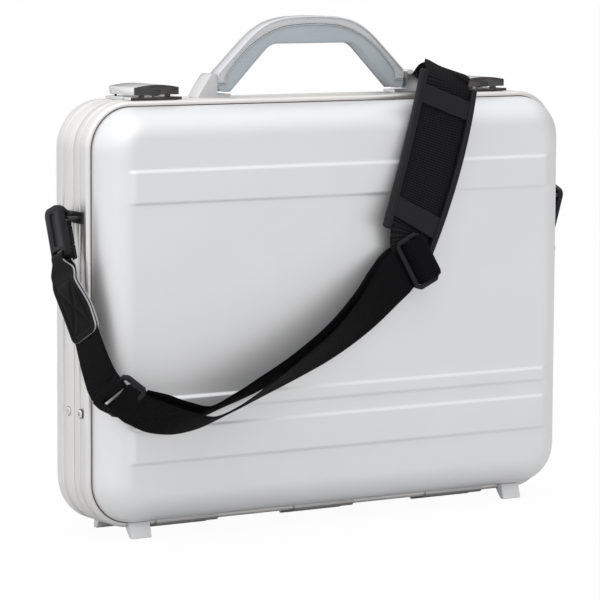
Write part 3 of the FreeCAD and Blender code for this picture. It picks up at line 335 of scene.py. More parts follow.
MATERIALS = {
    "shell": material("satin_shell", (0.70, 0.703, 0.712), 0.5, metal=0.7, variation=0.01,
                      scale=2600.0, bump=0.012, rough_spread=0.04),
    "frame": material("satin_frame", (0.70, 0.69, 0.68), 0.46, metal=1.0, variation=0.015,
                      scale=900.0, bump=0.008, rough_spread=0.05),
    "leaf": material("satin_leaf", (0.46, 0.455, 0.45), 0.4, metal=1.0, variation=0.03,
                     scale=1400.0),
    "chrome": material("plated_chrome", (0.74, 0.74, 0.75), 0.12, metal=1.0, variation=0.02,
                       scale=300.0, bump=0.004, rough_spread=0.03),
    # the latches' forward faces: a darker, blotchy chrome that is a painted dark reflection
    "dark_reflection": material("painted_dark_reflection", (0.085, 0.08, 0.078), 0.16, metal=1.0, variation=0.45,
                       scale=700.0, bump=0.004, blotch=60.0),
    # dark strips in the gap round each shell and round each screw head: painted shade
    "socket": material("painted_crevice_shade", (0.10, 0.085, 0.075), 0.6, variation=0.1, specular=0.2),
    # the strap's anchor: near black, a painted shade that blends with the shade beside the clip
    "anchor": material("anchor_painted_shade", (0.03, 0.03, 0.032), 0.35, metal=0.6, variation=0.1),
    "bracket": material("plated_satin", (0.60, 0.60, 0.61), 0.34, metal=1.0, variation=0.02),
    "steel": material("plated_steel", (0.66, 0.65, 0.63), 0.22, metal=1.0, variation=0.04,
                      scale=1200.0, bump=0.006),
    "stay": material("brushed_strip", (0.55, 0.55, 0.55), 0.34, metal=1.0, variation=0.04,
                     bump=0.012, stretch=(1.0, 1.0, 0.04)),
    "silver": material("silver_cover", (0.54, 0.545, 0.56), 0.38, metal=0.35, variation=0.02,
                       scale=3000.0, coat=0.2),
    "grip": material("grey_grip", (0.34, 0.375, 0.40), 0.5, variation=0.04, scale=1700.0,
                     bump=0.03, specular=0.4),
    "foot": material("foot_plastic", (0.62, 0.625, 0.64), 0.5, variation=0.04, bump=0.02),
    "black": material("strap_plastic", (0.009, 0.009, 0.011), 0.42, variation=0.12, scale=1300.0,
                      bump=0.02, specular=0.16),
    "button": material("button_plastic", (0.02, 0.02, 0.022), 0.3, variation=0.1),
    "leather": material("tab_leatherette", (0.0055, 0.005, 0.005), 0.5, variation=0.15,
                        scale=1100.0, bump=0.05, specular=0.05, rough_spread=0.1),
    "edge": material("tab_cut_edge", (0.27, 0.27, 0.285), 0.6, variation=0.15, scale=900.0,
                     bump=0.04),
    "rubber": material("pad_rubber", (0.009, 0.009, 0.011), 0.5, variation=0.12, bump=0.03,
                       specular=0.16),
    "lining": material("lining_cloth", (0.075, 0.075, 0.082), 0.85, variation=0.12, scale=1200.0,
                       bump=0.12, specular=0.2, sheen=0.25),
    "web": webbing_material("black_webbing", (0.0025, 0.0025, 0.003), 1.55, 1.1, 0.22),
    "inlay": webbing_material("pad_webbing", (0.004, 0.004, 0.0045), 2.1, 3.4, 0.32, crest_highlight=4.0),
}


def dress(item, key, body):
    """Give a piece its material and the body that it rides on."""
    item.data.materials.clear()
    item.data.materials.append(MATERIALS[key])
    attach(item, body)


def paint(label, key):
    """Give a CAD node that is shown as it is a material, and flat shading."""
    mesh = frame["nodes"][label].data
    mesh.materials.clear()
    mesh.materials.append(MATERIALS[key])
    mesh.polygons.foreach_set("use_smooth", [False] * len(mesh.polygons))


def paint_dark_reflection(item):
    """Give the faces that look forward a darker plating: a painted dark reflection of the surroundings
    in front.
    """
    item.data.materials.append(MATERIALS["dark_reflection"])
    for polygon in item.data.polygons:
        # faces that look forward take the painted dark reflection
        if polygon.normal.y < -0.6:
            polygon.material_index = 1


# ------------ case

(_, _, LOW), (SIDE, _, HIGH) = millimetres("front_shell")
RIM = millimetres("front_frame")[1][0]      # the frame's lip, out from the middle of the case
CORNER = 34.0                               # radius of the case's corners, seen from the front
ROUND = 25.0                                # radius between a shell's sides and its face
SHEET = 1.2
FACE, REAR = -47.0, 56.0                    # the flat faces of the front and the back shell
FRONT_SEAT, BACK_SEAT = 13.0, 22.0          # how far from the seam the shells' sides start
FRAME_SEAM = 0.3                            # half the gap between the closed frames
GROOVE = 7.0                                # width of the groove round each frame

BANDS = ((267.4, 296.8), (102.0, 116.3), (61.3, 92.6))
BAND_REACH, BAND_RISE, BAND_SLOPE, BAND_END = 206.0, 1.6, 3.6, 9.0
BAND_LINES, BAND_PITCH = 9, 0.5             # mesh lines over a band's slope
PLAIN_PITCH, PLAIN_GAP = 7.0, 2.0           # mesh lines elsewhere, and their gap to those
FACE_COLUMNS, ROUND_STEPS, FACE_RINGS = 84, 32, 9
SHELL_ARC = [k / 10 for k in range(1, 10)]  # shares of a quarter turn, without its ends
FRAME_ARC = [k / 20 for k in range(21)]     # and with them


def band_height(x, z):
    """How far the pressed bands stand proud at a point of the face."""
    reach = smoothstep((BAND_REACH - abs(x)) / BAND_END)
    for low, high in BANDS:
        if low < z < high:
            return BAND_RISE * reach * smoothstep(min(z - low, high - z) / BAND_SLOPE)
    return 0.0


def side_lines():
    """Heights at which the shell's mesh has lines: dense where the bands rise."""
    inner_low, inner_high = LOW + CORNER, HIGH - CORNER
    marks = set()
    for low, high in BANDS:
        for k in range(BAND_LINES):
            marks.add(round(low + k * BAND_PITCH, 3))
            marks.add(round(high - k * BAND_PITCH, 3))
    z = inner_low
    while z < inner_high:
        if all(abs(z - mark) > PLAIN_GAP for mark in marks):
            marks.add(round(z, 3))
        z += PLAIN_PITCH
    marks.update((inner_low, inner_high))
    return sorted(mark for mark in marks if inner_low <= mark <= inner_high)


def corner_arc(quarter, radius, marks):
    """Points on one of the case's corners, clockwise: 0 is top right and 3 is top left."""
    x = SIDE - CORNER if quarter < 2 else CORNER - SIDE
    z = HIGH - CORNER if quarter in (0, 3) else LOW + CORNER
    turns = [math.pi / 2 * (quarter + mark) for mark in marks]
    return [(x + radius * math.sin(turn), z + radius * math.cos(turn)) for turn in turns]


def shell(label, sign, seat, face, body):
    """A shell of thin sheet: its side, the round to its face, and the face with its bands."""
    zs = side_lines()
    reach = SIDE - CORNER
    xs = [reach * (2 * k / FACE_COLUMNS - 1) for k in range(FACE_COLUMNS + 1)]
    rings = [(0.0, seat), (0.0, (seat + face - ROUND) / 2)]
    for k in range(ROUND_STEPS + 1):
        a = math.pi / 2 * k / ROUND_STEPS
        rings.append((ROUND * (1 - math.cos(a)), face - ROUND + ROUND * math.sin(a)))
    rings += [(ROUND + k, face) for k in range(1, FACE_RINGS + 1)]
    places = []
    for inset, y in rings:
        arcs = [corner_arc(quarter, CORNER - inset, SHELL_ARC) for quarter in range(4)]
        loop = [(x, HIGH - inset) for x in xs] + arcs[0]
        loop += [(SIDE - inset, z) for z in reversed(zs)] + arcs[1]
        loop += [(x, LOW + inset) for x in reversed(xs)] + arcs[2]
        loop += [(inset - SIDE, z) for z in zs] + arcs[3]
        places += [(x, y, z) for x, z in loop]
    faces = ring_faces(len(rings), len(loop))
    start, wide = len(places), len(xs)
    places += [(x, face, z) for z in zs for x in xs]
    for row in range(start, start + (len(zs) - 1) * wide, wide):
        for i in range(row, row + wide - 1):
            faces.append((i, i + 1, i + wide + 1, i + wide))
    verts = [(x, sign * (y + band_height(x, z)), z) for x, y, z in places]
    item = new_object(label + "_skin", verts, faces, 60.0)
    tidy(item, 60.0, merge=2e-5)
    thick = item.modifiers.new("sheet", "SOLIDIFY")
    thick.thickness = SHEET * MM
    thick.offset = -1.0
    apply_modifiers(item)
    smooth(item, 50.0)
    dress(item, "shell", body)
    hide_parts(label)


def round_case(section, sign):
    """Rings of a section's points (y, and out from the shell's side) taken round the case."""
    rings = []
    for y, out in section:
        path = [place for quarter in range(4) for place in corner_arc(quarter, CORNER + out, FRAME_ARC)]
        rings.append([(x, sign * y, z) for x, z in path])
    return rings


def frame_piece(label, sign, groove_start, body):
    """A half's extruded frame with its groove, and a dark strip of painted shade in the gap where the
    shell sits in it.
    """
    depth = max(abs(corner[1]) for corner in millimetres(label))
    end = groove_start + GROOVE
    lip, floor, step, wall = RIM - SIDE, 3.3, 0.8, -1.6
    rings = round_case([
        (FRAME_SEAM, lip - 0.35), (FRAME_SEAM + 0.12, lip - 0.1), (FRAME_SEAM + 0.4, lip),
        (groove_start, lip), (groove_start + 0.25, lip - 0.15), (groove_start + 0.6, floor + 0.1),
        (groove_start + 0.9, floor), (end - 0.1, floor), (end + 0.2, floor + 0.1),
        (end + 0.55, lip - 0.15), (end + 0.8, lip), (depth - 2.3, lip), (depth - 1.6, lip - 0.2),
        (depth - 0.3, lip - 1.5), (depth, lip - 2.2), (depth, step + 0.25), (depth - 0.2, step),
        (depth - 1.5, step), (depth - 1.5, 0.02), (depth - 8, 0.02), (depth - 8, wall),
        (FRAME_SEAM, wall)], sign)
    item = loft(label + "_profile", rings + rings[:1], caps=False, angle=28.0)
    dress(item, "frame", body)
    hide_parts(label)
    # a thin dark strip in the gap at the frame's edge: painted shade
    seam = round_case([(depth - 0.9, 0.05), (depth - 0.35, 0.1), (depth - 0.35, step + 0.05),
                       (depth - 0.9, step + 0.1)], sign)
    dress(loft(label + "_seam", seam, caps=False), "socket", body)


def screw_head(where, side, body):
    """A domed socket screw, ringed by a thin dark strip of painted shade where it sits in the frame's
    side.
    """
    label = "stay_screw_%s_%s" % (where, side)
    (_, y1, z1), (_, y2, z2) = millimetres(label)
    y, z = (y1 + y2) / 2, (z1 + z2) / 2
    way = -1 if side == "left" else 1
    # the rim: a thin dark ring round the head, painted shade
    rim = [(3.9, 0.0), (3.9, 0.06), (3.5, 0.06)]
    head = [(3.5, 0.0), (3.45, 0.3), (2.9, 0.62), (1.9, 0.82), (1.6, 0.8), (1.55, -0.6), (0.0, -0.7)]
    turns = [2 * math.pi * k / 24 for k in range(24)]
    for word, line, key in (("rim", rim, "socket"), ("head", head, "steel")):
        rings = [[(way * (RIM + lift), y + radius * math.cos(a), z + radius * math.sin(a))
                  for a in turns] for radius, lift in line]
        item = loft("%s_%s" % (label, word), rings, caps=False, angle=30.0)
        dress(item, key, body)
    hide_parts(label)


def halves():
    """Both halves: the shells and frames, the feet, the hinges and the linings."""
    shell("front_shell", -1, FRONT_SEAT, -FACE, "lid")
    shell("back_shell", 1, BACK_SEAT, REAR, "base")
    frame_piece("front_frame", -1, 8.0, "lid")
    frame_piece("back_frame", 1, 11.0, "base")
    for name, body in HALVES:
        for side in SIDES:
            foot = polished("%s_foot_%s" % (name, side), 0.7)
            dress(foot, "foot", body)
        for where in PLACES:
            leaf = polished("hinge_%s_leaf_%s" % (name, where), 0.25, segments=2)
            dress(leaf, "leaf", body)
        paint(name + "_lining", "lining")
    for where in PLACES:
        paint("hinge_pin_" + where, "steel")


# ------------ latches, brackets, stays

LEVER_CROWN = 3.5       # height of the lever's crown
LEVER_FLATTEN = 0.62    # share of that height that is kept
LEVER_RIM = 1.0         # how far the skirt's rim is lifted off the plate


def flatter(point):
    """Lower the lever's crown and lift the rim of its skirt off the plate."""
    low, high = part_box("latch_lever_left")
    shoulder = high.z - LEVER_CROWN * MM
    point = point.copy()
    if point.z > shoulder:
        point.z = shoulder + (point.z - shoulder) * LEVER_FLATTEN
    elif point.z < low.z + LEVER_RIM * MM / 2:
        point.z += LEVER_RIM * MM
    return point


def latch(side):
    """A latch: its plate and catch, the lever and the button."""
    plate = polished("latch_base_" + side, 0.35, segments=2)
    dress(plate, "chrome", "base")
    catch = polished("latch_catch_" + side, 0.35, segments=2)
    dress(catch, "chrome", "lid")
    lever = polished("latch_lever_" + side, 0.4, reshape=flatter)
    dress(lever, "chrome", "latch_" + side)
    for item in (plate, catch, lever):
        # painted dark reflection on the forward faces
        paint_dark_reflection(item)
    button = polished("latch_button_" + side, 0.3, segments=2)
    dress(button, "button", "button_" + side)


def fittings(side):
    """What one side carries: a handle bracket, a latch, the strap's anchor and the lid stays."""
    bracket = polished("handle_bracket_" + side, 0.9)
    dress(bracket, "bracket", "base")
    latch(side)
    for label in ("handle_pin_", "latch_pin_"):
        paint(label + side, "steel")
    # near black: painted shade beside the clip
    paint("strap_anchor_" + side, "anchor")
    for where, body in HALVES:
        screw_head(where, side, body)
        link = polished("stay_%s_%s" % (where, side), 0.2, segments=2)
        dress(link, "stay", "%s_stay_%s" % (where, side))


halves()
for side in SIDES:
    fittings(side)


# ------------ handle

CURVE_STEPS = 6
SEAM_GAP = 0.15         # between the cover and the grip below it
GRIP_SET_IN = 0.3       # the grip's faces, in from the cover's
COVER_TOP = [(90.9, 367.8), (75.5, 382.6), (60.0, 397.0), (49.0, 404.8), (38.0, 409.6),
             (24.0, 412.4), (8.0, 413.3), (0.0, 413.4)]
COVER_SEAM = [(82.9, 359.6), (81.9, 366.0), (79.0, 370.6), (66.0, 384.5), (52.5, 394.6),
              (45.0, 398.6), (36.0, 402.4), (24.0, 405.3), (8.0, 406.6), (0.0, 406.7)]
GRIP_FOOT = [(78.9, 352.5), (86.0, 352.5), (88.9, 353.3), (90.4, 355.3), (90.9, 358.0),
             (90.9, 359.4)]
GRIP_UNDER = [(60.0, 371.4), (46.5, 384.9), (43.0, 388.0), (39.5, 389.9), (35.0, 390.8),
              (20.0, 390.8)]


def mirrored(points):
    return [(-x, z) for x, z in reversed(points)]


def both_halves(points):
    """The right half of a line that ends in the middle, and its left half."""
    return points + mirrored(points[:-1])


def rimmed_form(name, outline, low, high, radius, steps):
    """A form of a closed (x, z) outline: round rims at low and high, the rest set in from them."""
    outline = counter_clockwise(outline)
    levels = []
    for k in range(steps + 1):
        a = math.pi / 2 * k / steps
        levels.append((low + radius * (1 - math.sin(a)), radius * (1 - math.cos(a))))
    levels += [(low + high - y, inset) for y, inset in reversed(levels)]
    rings = [[(p.x, y, p.y) for p in inset_outline(outline, inset)] for y, inset in levels]
    return loft(name, rings, angle=50.0)


def handle():
    """The silver cover with its moulded top line, and the grey grip under it."""
    (_, front, _), (half, back, _) = millimetres("handle_cover")
    seam = catmull(COVER_SEAM, CURVE_STEPS)
    top = [(half, COVER_SEAM[0][1])] + catmull(COVER_TOP, CURVE_STEPS)
    cover = both_halves(top) + list(reversed(both_halves(seam)))
    grip = both_halves(GRIP_FOOT + [(x, z - SEAM_GAP) for x, z in seam])
    grip += reversed(GRIP_UNDER + mirrored(GRIP_UNDER))
    item = rimmed_form("handle_cover_form", cover, front, back, 1.3, 5)
    dress(item, "silver", "handle")
    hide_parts("handle_cover")
    item = rimmed_form("handle_grip_form", grip, front + GRIP_SET_IN, back - GRIP_SET_IN, 0.8, 4)
    dress(item, "grip", "handle")
    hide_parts("handle_grip")


handle()


# ------------ strap

WEB = 38.0              # width of the webbing
WEBBING = 1.6           # its thickness
WEB_COLUMNS = 12
WEB_STEP = 2.0          # distance between its cross-sections
WEB_ROUND = 0.85        # share of the thickness that rounds off at its edges


def stations_line(stations, step):
    """Sample centre, across, outward and width along a band at an even pitch."""
    rows = [[*station[0], *station[1], *(station[2:] or [WEB])] for station in stations]
    fine = catmull(rows, steps=24)
    kept = [fine[0]]
    walked = 0.0
    for a, b in zip(fine, fine[1:]):
        walked += (Vector(b[:3]) - Vector(a[:3])).length
        if walked >= step:
            kept.append(b)
            walked = 0.0
    if kept[-1] is not fine[-1]:
        kept.append(fine[-1])
    line = []
    for i, row in enumerate(kept):
        before, after = kept[max(i - 1, 0)], kept[min(i + 1, len(kept) - 1)]
        run = (Vector(after[:3]) - Vector(before[:3])).normalized()
        across = Vector(row[3:6])
        across = (across - run * across.dot(run)).normalized()
        line.append((Vector(row[:3]), across, run.cross(across), row[6]))
    return line


def lengths_along(line):
    """How far each place of a line is from its start."""
    lengths = [0.0]
    for a, b in zip(line, line[1:]):
        lengths.append(lengths[-1] + (b[0] - a[0]).length)
    return lengths


def web_ring(centre, across, out, wide):
    """A cross-section of the webbing, over its outer face and back under it."""
    ring = []
    for face in (1, -1):
        for k in range(WEB_COLUMNS + 1):
            v = face * (2 * k / WEB_COLUMNS - 1)
            edge = min(1.0, (1 - abs(v)) * wide / WEBBING)
            lift = WEBBING / 2 * math.sqrt(max(1 - (1 - edge) ** 2, 0.0)) * WEB_ROUND
            if abs(v) < 1:
                lift += WEBBING / 2 * (1 - WEB_ROUND)
            ring.append(centre + across * (v * wide / 2) + out * (face * lift))
    return ring


def web_band(name, stations):
    """A band with round edges, and a map along and across it for the weave."""
    line = stations_line(stations, WEB_STEP)
    lengths = lengths_along(line)
    rings = [web_ring(*place) for place in line]
    count = len(rings[0])
    verts = [point * MM for ring in rings for point in ring]
    faces = ring_faces(len(rings), count)
    faces.append(tuple(range(count - 1, -1, -1)))
    faces.append(tuple(range(len(verts) - count, len(verts))))
    mesh = bpy.data.meshes.new(name)
    mesh.from_pydata(verts, [], faces)
    layer = mesh.uv_layers.new(name="weave")
    for corner, loop in zip(layer.data, mesh.loops):
        r, i = divmod(loop.vertex_index, count)
        k = i if i <= WEB_COLUMNS else 2 * WEB_COLUMNS + 1 - i
        corner.uv = (lengths[r], (2 * k / WEB_COLUMNS - 1) * line[r][3] / 2)
    item = in_scene(name, mesh)
    with editing(mesh):
        pass        # no edit: only the faces are turned outwards
    smooth(item, 60.0)
    return item


# A station of the webbing is its middle, the way across it and, where it isn't WEB, its width.
SIDE_WEB = [
    ((-RIM - 8.6, -34, 172), (0.05, -0.88, 0.48)),
    ((-RIM - 8.4, -37.6, 164.6), (0.05, -0.88, 0.48)),
    ((-RIM - 7.0, -45, 149), (0.12, -0.88, 0.44)),
    ((-RIM - 4.5, -52, 134), (0.2, -0.86, 0.46)),
    ((-RIM - 3.0, -54.5, 129), (0.22, -0.85, 0.46)),
    ((-RIM - 1.4, -60.6, 125.2), (0.18, -0.82, 0.54)),
    ((-RIM + 0.9, -62.4, 122.0), (0.18, -0.82, 0.54)),
]
FRONT_OUTER = [
    ((-210, FACE - 21, 111.5), (0.05, -0.72, 0.69)),
    ((-194, FACE - 25, 104), (-0.1, -0.66, 0.74)),
    ((-172, FACE - 27, 98), (-0.15, -0.78, 0.6)),
    ((-150, FACE - 28, 97), (-0.1, -0.92, 0.38)),
    ((-124, FACE - 27, 105), (-0.22, -0.93, 0.3)),
    ((-98, FACE - 25, 116), (-0.28, -0.88, 0.38)),
    ((-62, FACE - 22, 132), (-0.3, -0.78, 0.55)),
    ((-24, FACE - 19, 151), (-0.36, -0.62, 0.7)),
    ((8, FACE - 16, 173), (-0.42, -0.36, 0.83)),
    ((33, FACE - 13.5, 195.5), (-0.42, -0.05, 0.9)),
    ((42.0, FACE - 12.6, 203.5), (-0.46, 0.08, 0.88)),
]
FRONT_INNER = [
    ((-206.5, FACE - 18, 114.5), (0.05, -0.72, 0.69)),
    ((-192, FACE - 20.5, 110), (-0.1, -0.66, 0.74)),
    ((-172, FACE - 21.5, 105), (-0.15, -0.78, 0.6)),
    ((-150, FACE - 21, 103.5), (-0.1, -0.9, 0.42)),
    ((-124, FACE - 20.5, 112.2), (-0.22, -0.88, 0.42)),
    ((-98, FACE - 19.5, 122.2), (-0.28, -0.82, 0.5)),
    ((-64, FACE - 17.5, 136.5), (-0.3, -0.74, 0.6)),
    ((-27, FACE - 15, 155.4), (-0.36, -0.6, 0.72)),
    ((4, FACE - 12.5, 176), (-0.42, -0.36, 0.83)),
    ((27, FACE - 10.3, 194.5), (-0.42, -0.05, 0.9)),
    ((41.0, FACE - 9.0, 206.0), (-0.46, 0.08, 0.88)),
]
INLAY = 45.6            # width of the webbing in the pad
INLAY_LIFT = 2.85       # how far it lies in front of the pad's back
PAD_HALF = 71.0
PAD_DEPTH = 7.0
PAD_SPINE = [Vector(p) for p in ((51.9, FACE - 14.5, 230.0), (78.1, FACE - 10.5, 296.8),
                                 (95.1, FACE - 9.3, 361.4))]
PAD_ACROSS = [Vector(p) for p in ((0.867, 0.099, -0.489), (0.926, -0.047, -0.375),
                                  (0.936, -0.008, -0.351))]


def bowed(low, middle, high, t):
    """The curve through three values at t = -1, 0 and 1, and its slope."""
    bow = (low + high) / 2 - middle
    return middle + (high - low) / 2 * t + bow * t * t, (high - low) / 2 + bow * 2 * t


def pad_across(z):
    return bowed(*PAD_ACROSS, z / PAD_HALF)[0].normalized()


def on_pad(x, y, z):
    """A point of the bent pad: x across it, y from its back (its front is negative), z along it."""
    front, along = bowed(*PAD_SPINE, z / PAD_HALF)
    across = pad_across(z)
    return front + across * x + along.cross(across).normalized() * (y + PAD_DEPTH)


def pad_station(z, width=INLAY):
    return on_pad(0.0, -INLAY_LIFT, z), pad_across(z), width


PAD_WEB = [
    ((60.0, FACE - 7.0, 212), (0.74, 0.05, -0.67), 30.0),
    ((56.0, FACE - 8.5, 221), (0.84, 0.06, -0.54), 34.0),
    pad_station(-66.0, 39.0),
    pad_station(-56.0, 43.0),
    *[pad_station(z) for z in (-46.0, -22.0, 0.0, 22.0, 46.0, 57.0, 68.0)],
    ((98.6, FACE + 2.5, 366.6), (0.92, -0.12, -0.36), 43.0),
    ((103.4, FACE + 9, 369.0), (0.87, -0.35, -0.32), 40.0),
    ((108.0, -23, 367.3), (0.86, -0.42, -0.26), 38.6),
    ((112.3, -6.6, 358.4), (0.82, -0.46, -0.33)),
    ((121.6, -1.0, 361.8), (0.82, -0.53, -0.14)),
    ((124.6, 8, 362.6), (0.82, -0.57, -0.02)),
]
REAR_WEB = [
    ((124.8, 8.4, 362.6), (0.82, -0.57, -0.02)),
    ((128, 20, 362.3), (0.86, -0.5, 0.0)),
    ((131, 34, 361.8), (0.9, -0.42, 0.02)),
    ((135, 48, 355.5), (0.93, -0.33, 0.08)),
    ((143, REAR + 4, 339), (0.97, -0.2, 0.13)),
    ((151, REAR + 7, 312), (0.98, -0.1, 0.15)),
    ((166, REAR + 7, 262), (0.98, 0.0, 0.17)),
    ((183, REAR + 8, 210), (0.97, 0.03, 0.2)),
    ((196, REAR + 10, 165), (0.92, 0.08, 0.38)),
    ((210, REAR + 11, 135), (0.68, 0.2, 0.7)),
    ((224, REAR + 8.5, 119), (0.36, 0.36, 0.86)),
    ((235.1, REAR + 3.2, 112.6), (0.15, 0.5, 0.85)),
    ((RIM + 13, REAR - 5.5, 110.5), (0.02, 0.55, 0.83)),
    ((RIM + 14, 41, 120), (-0.05, 0.7, 0.7)),
    ((RIM + 12, 32.5, 140), (-0.07, 0.85, 0.5)),
    ((RIM + 9.4, 28.1, 163), (-0.05, 0.97, 0.2)),
]
# the lower ends of the leather tabs
LEFT_TAB = [
    ((-RIM - 11, -27.5, 185), (0.08, -0.89, 0.44)),
    ((-RIM - 8.5, -37, 166), (0.05, -0.88, 0.48)),
]
RIGHT_TAB = [
    ((RIM + 11.5, 24.5, 187), (-0.03, 0.97, 0.22)),
    ((RIM + 9.4, 27.8, 164.3), (-0.05, 0.97, 0.2)),
]
# where the webbing turns the case's corner below the slider: its low edge and its high edge
CORNER_FOLD = [
    ((-233.9, -42.0, 114.6), (-232.9, -48.0, 117.5)),
    ((-229.9, -47.0, 109.7), (-231.1, -55.0, 114.5)),
    ((-222.4, -50.5, 106.4), (-229.6, -61.0, 110.3)),
    ((-219.6, -52.0, 105.1), (-221.9, -77.5, 132.6)),
    ((-212.3, -53.9, 99.0), (-207.7, -82.0, 124.0)),
]


def axes(along, out):
    """Three square directions: along, out and the side that they leave."""
    along, out = Vector(along).normalized(), Vector(out)
    out = (out - along * out.dot(along)).normalized()
    return along, out, along.cross(out)


# the adjuster's middle and axes as packed, and as it leans in the scene
CAD_ADJUSTER = Vector((56.5, FACE - 13.9, 208.5))
CAD_ADJUSTER_AXES = axes((-0.27, 0.09, 0.96), (-0.2, -0.98, 0.0))
ADJUSTER = Vector((59.5, FACE - 13.9, 213.5))
ADJUSTER_ALONG, ADJUSTER_OUT, ADJUSTER_SIDE = axes((-0.47, 0.085, 0.877), (-0.2, -0.98, 0.0))


def leaning(point):
    """Move a corner of the adjuster from its packed place to the lean that the webbing gives it."""
    offset = point / MM - CAD_ADJUSTER
    along, out, side = (offset.dot(way) for way in CAD_ADJUSTER_AXES)
    return (ADJUSTER + ADJUSTER_ALONG * along + ADJUSTER_OUT * out + ADJUSTER_SIDE * side) * MM


def in_adjuster(side, out):
    """A station of the webbing that is laced through the adjuster's bars."""
    return (tuple(ADJUSTER + ADJUSTER_SIDE * side + ADJUSTER_OUT * out), tuple(ADJUSTER_ALONG))


# under the near bar, over the middle and far bars, round the far bar and back
LACED = [in_adjuster(*place) for place in (
    (-15.2, -0.6), (-10.4, -3.4), (-6.4, -1.6), (-2.2, 2.7), (3.0, 3.6), (9.0, 3.7), (12.6, 2.6),
    (14.0, 0.0), (12.6, -2.8), (8.0, -4.0), (0.0, -5.2), (-9.0, -5.8))]


def ribbon(name, edges, columns=10, steps=6):
    """Webbing between two edge lines: each row gives the points of the low and the high edge."""
    lows = [Vector(point) for point in catmull([low for low, high in edges], steps)]
    highs = [Vector(point) for point in catmull([high for low, high in edges], steps)]
    rings = []
    for i, (low, high) in enumerate(zip(lows, highs)):
        before, after = max(i - 1, 0), min(i + 1, len(lows) - 1)
        run = (lows[after] + highs[after] - lows[before] - highs[before]).normalized()
        out = run.cross((high - low).normalized()).normalized()
        ring = []
        for face in (1, -1):
            for k in range(columns + 1):
                t = k / columns if face > 0 else 1 - k / columns
                lift = WEBBING / 2 * (0.2 + 0.8 * min(1.0, min(t, 1 - t) * 12))
                ring.append(low.lerp(high, t) + out * (face * lift))
        rings.append(ring)
    return loft(name, rings, angle=60.0)


# ------------ leather tabs

CLIP_LEAN = math.radians(20.0)
CLIP_THICKNESS = 5.0
CLIP_BAR = 4.0
STAPLE = Vector((237.5, 1.8, 257.5))        # where a clip hangs from the right staple
HOOK = Vector((0.0, 3.5, 34.7227))          # the same place in the clip's own axes
PLY = 1.8                                   # thickness of the leather
PLY_SHIFT = 1.3                             # a ply's middle, out from the webbing's
PLY_COLUMNS = 44
TAB_GAP = 0.4                               # between the leather and the clip's bar
NECK = 18.0                                 # width of the leather at that bar
SPLAY = (CLIP_THICKNESS / 2 + TAB_GAP + PLY / 2) / PLY_SHIFT    # how far the bar parts the plies
FOOT_ROUND = 6.0                            # radius of a tab's lower corners
EDGE_THIN = 0.2                             # how much thinner a ply is than its leather
BACK_MARGIN = -0.4                          # the back ply's edge, out from the front one's
BOX_TOP, BOX_IN = 17.0, 5.0                 # the sewn box, from the bar and from the edges
PUFF, PUFF_REACH = 0.75, 3.6                # how the leather rises between its seams
SINK, SINK_REACH = 0.45, 1.6                # and how a seam pulls it in


def clip_frame(side):
    """Origin and axes of a clip: across its plate, towards the case, and up along it."""
    turn = Matrix.Rotation(math.radians(90 * side), 3, "Z") @ Matrix.Rotation(-CLIP_LEAN, 3, "Y")
    return Vector((STAPLE.x * side, STAPLE.y, STAPLE.z)) - turn @ HOOK, turn


def tab_width(fall):
    """The tab's width at a distance below the clip's bar: a narrow neck that flares out."""
    return NECK + (WEB - NECK) * smoothstep((fall + 1.0) / 11.0)


def stitched(fall, across, length):
    """How far a stitched ply stands out: a sewn box with a cross puffs between its seams."""
    bottom, reach = length - BOX_IN, WEB / 2 - BOX_IN
    middle, half = (BOX_TOP + bottom) / 2, (bottom - BOX_TOP) / 2
    u, v = abs(fall - middle) / half, abs(across) / reach
    if max(u, v) > 1.25:
        return 0.0
    seam = min(abs(u - 1) * half if v < 1.02 else 9.0, abs(v - 1) * reach if u < 1.02 else 9.0)
    if max(u, v) < 1:
        cross = abs(u - v) * reach * half / math.hypot(reach, half)
        return PUFF * smoothstep(min(seam, cross) / PUFF_REACH) - SINK
    return -SINK * (1 - smoothstep(seam / SINK_REACH))


def ply(name, line, falls, shift, front):
    """One leather ply along a line, with rounded foot corners, and the outline of its edge."""
    length = falls[-1]
    thickness = PLY - EDGE_THIN
    rings, left, right = [], [], []
    for (centre, across, out, wide), fall in zip(line, falls):
        apart = 1 + (SPLAY - 1) * (1 - smoothstep(fall / 12.0))
        centre = centre + out * shift * apart
        half = tab_width(fall) / 2 + (0.0 if front else BACK_MARGIN)
        end = length - fall
        if end < FOOT_ROUND:
            half -= FOOT_ROUND - math.sqrt(max(FOOT_ROUND ** 2 - (FOOT_ROUND - end) ** 2, 0.0))
        ring = []
        for face in (1, -1):
            for k in range(PLY_COLUMNS + 1):
                v = (2 * k / PLY_COLUMNS - 1) * face * half
                lift = thickness / 2 * (1.0 if 0 < k < PLY_COLUMNS else 0.55)
                rise = stitched(fall, v, length) if front and face > 0 else 0.0
                ring.append(centre + across * v + out * (face * lift + rise))
        rings.append(ring)
        left.append((centre + across * -half, -across, out))
        right.append((centre + across * half, across, out))
    foot = left[-1][0].lerp(right[-1][0], 0.5)
    down = (line[-1][0] - line[-2][0]).normalized()
    outline = left + [(foot + down * 0.05, down, line[-1][2])] + list(reversed(right))
    return loft(name, rings, angle=50.0), outline


def cut_edge(name, outline):
    """The pale cut edge of a ply: a thin strip that follows its outline."""
    half = (PLY - EDGE_THIN) / 2
    section = ((-0.4, 0.15 - half), (0.12, 0.25 - half), (0.12, half - 0.25), (-0.4, half - 0.15))
    rings = [[point + away * reach + out * lift for reach, lift in section]
             for point, away, out in outline]
    return loft(name, rings, angle=40.0)


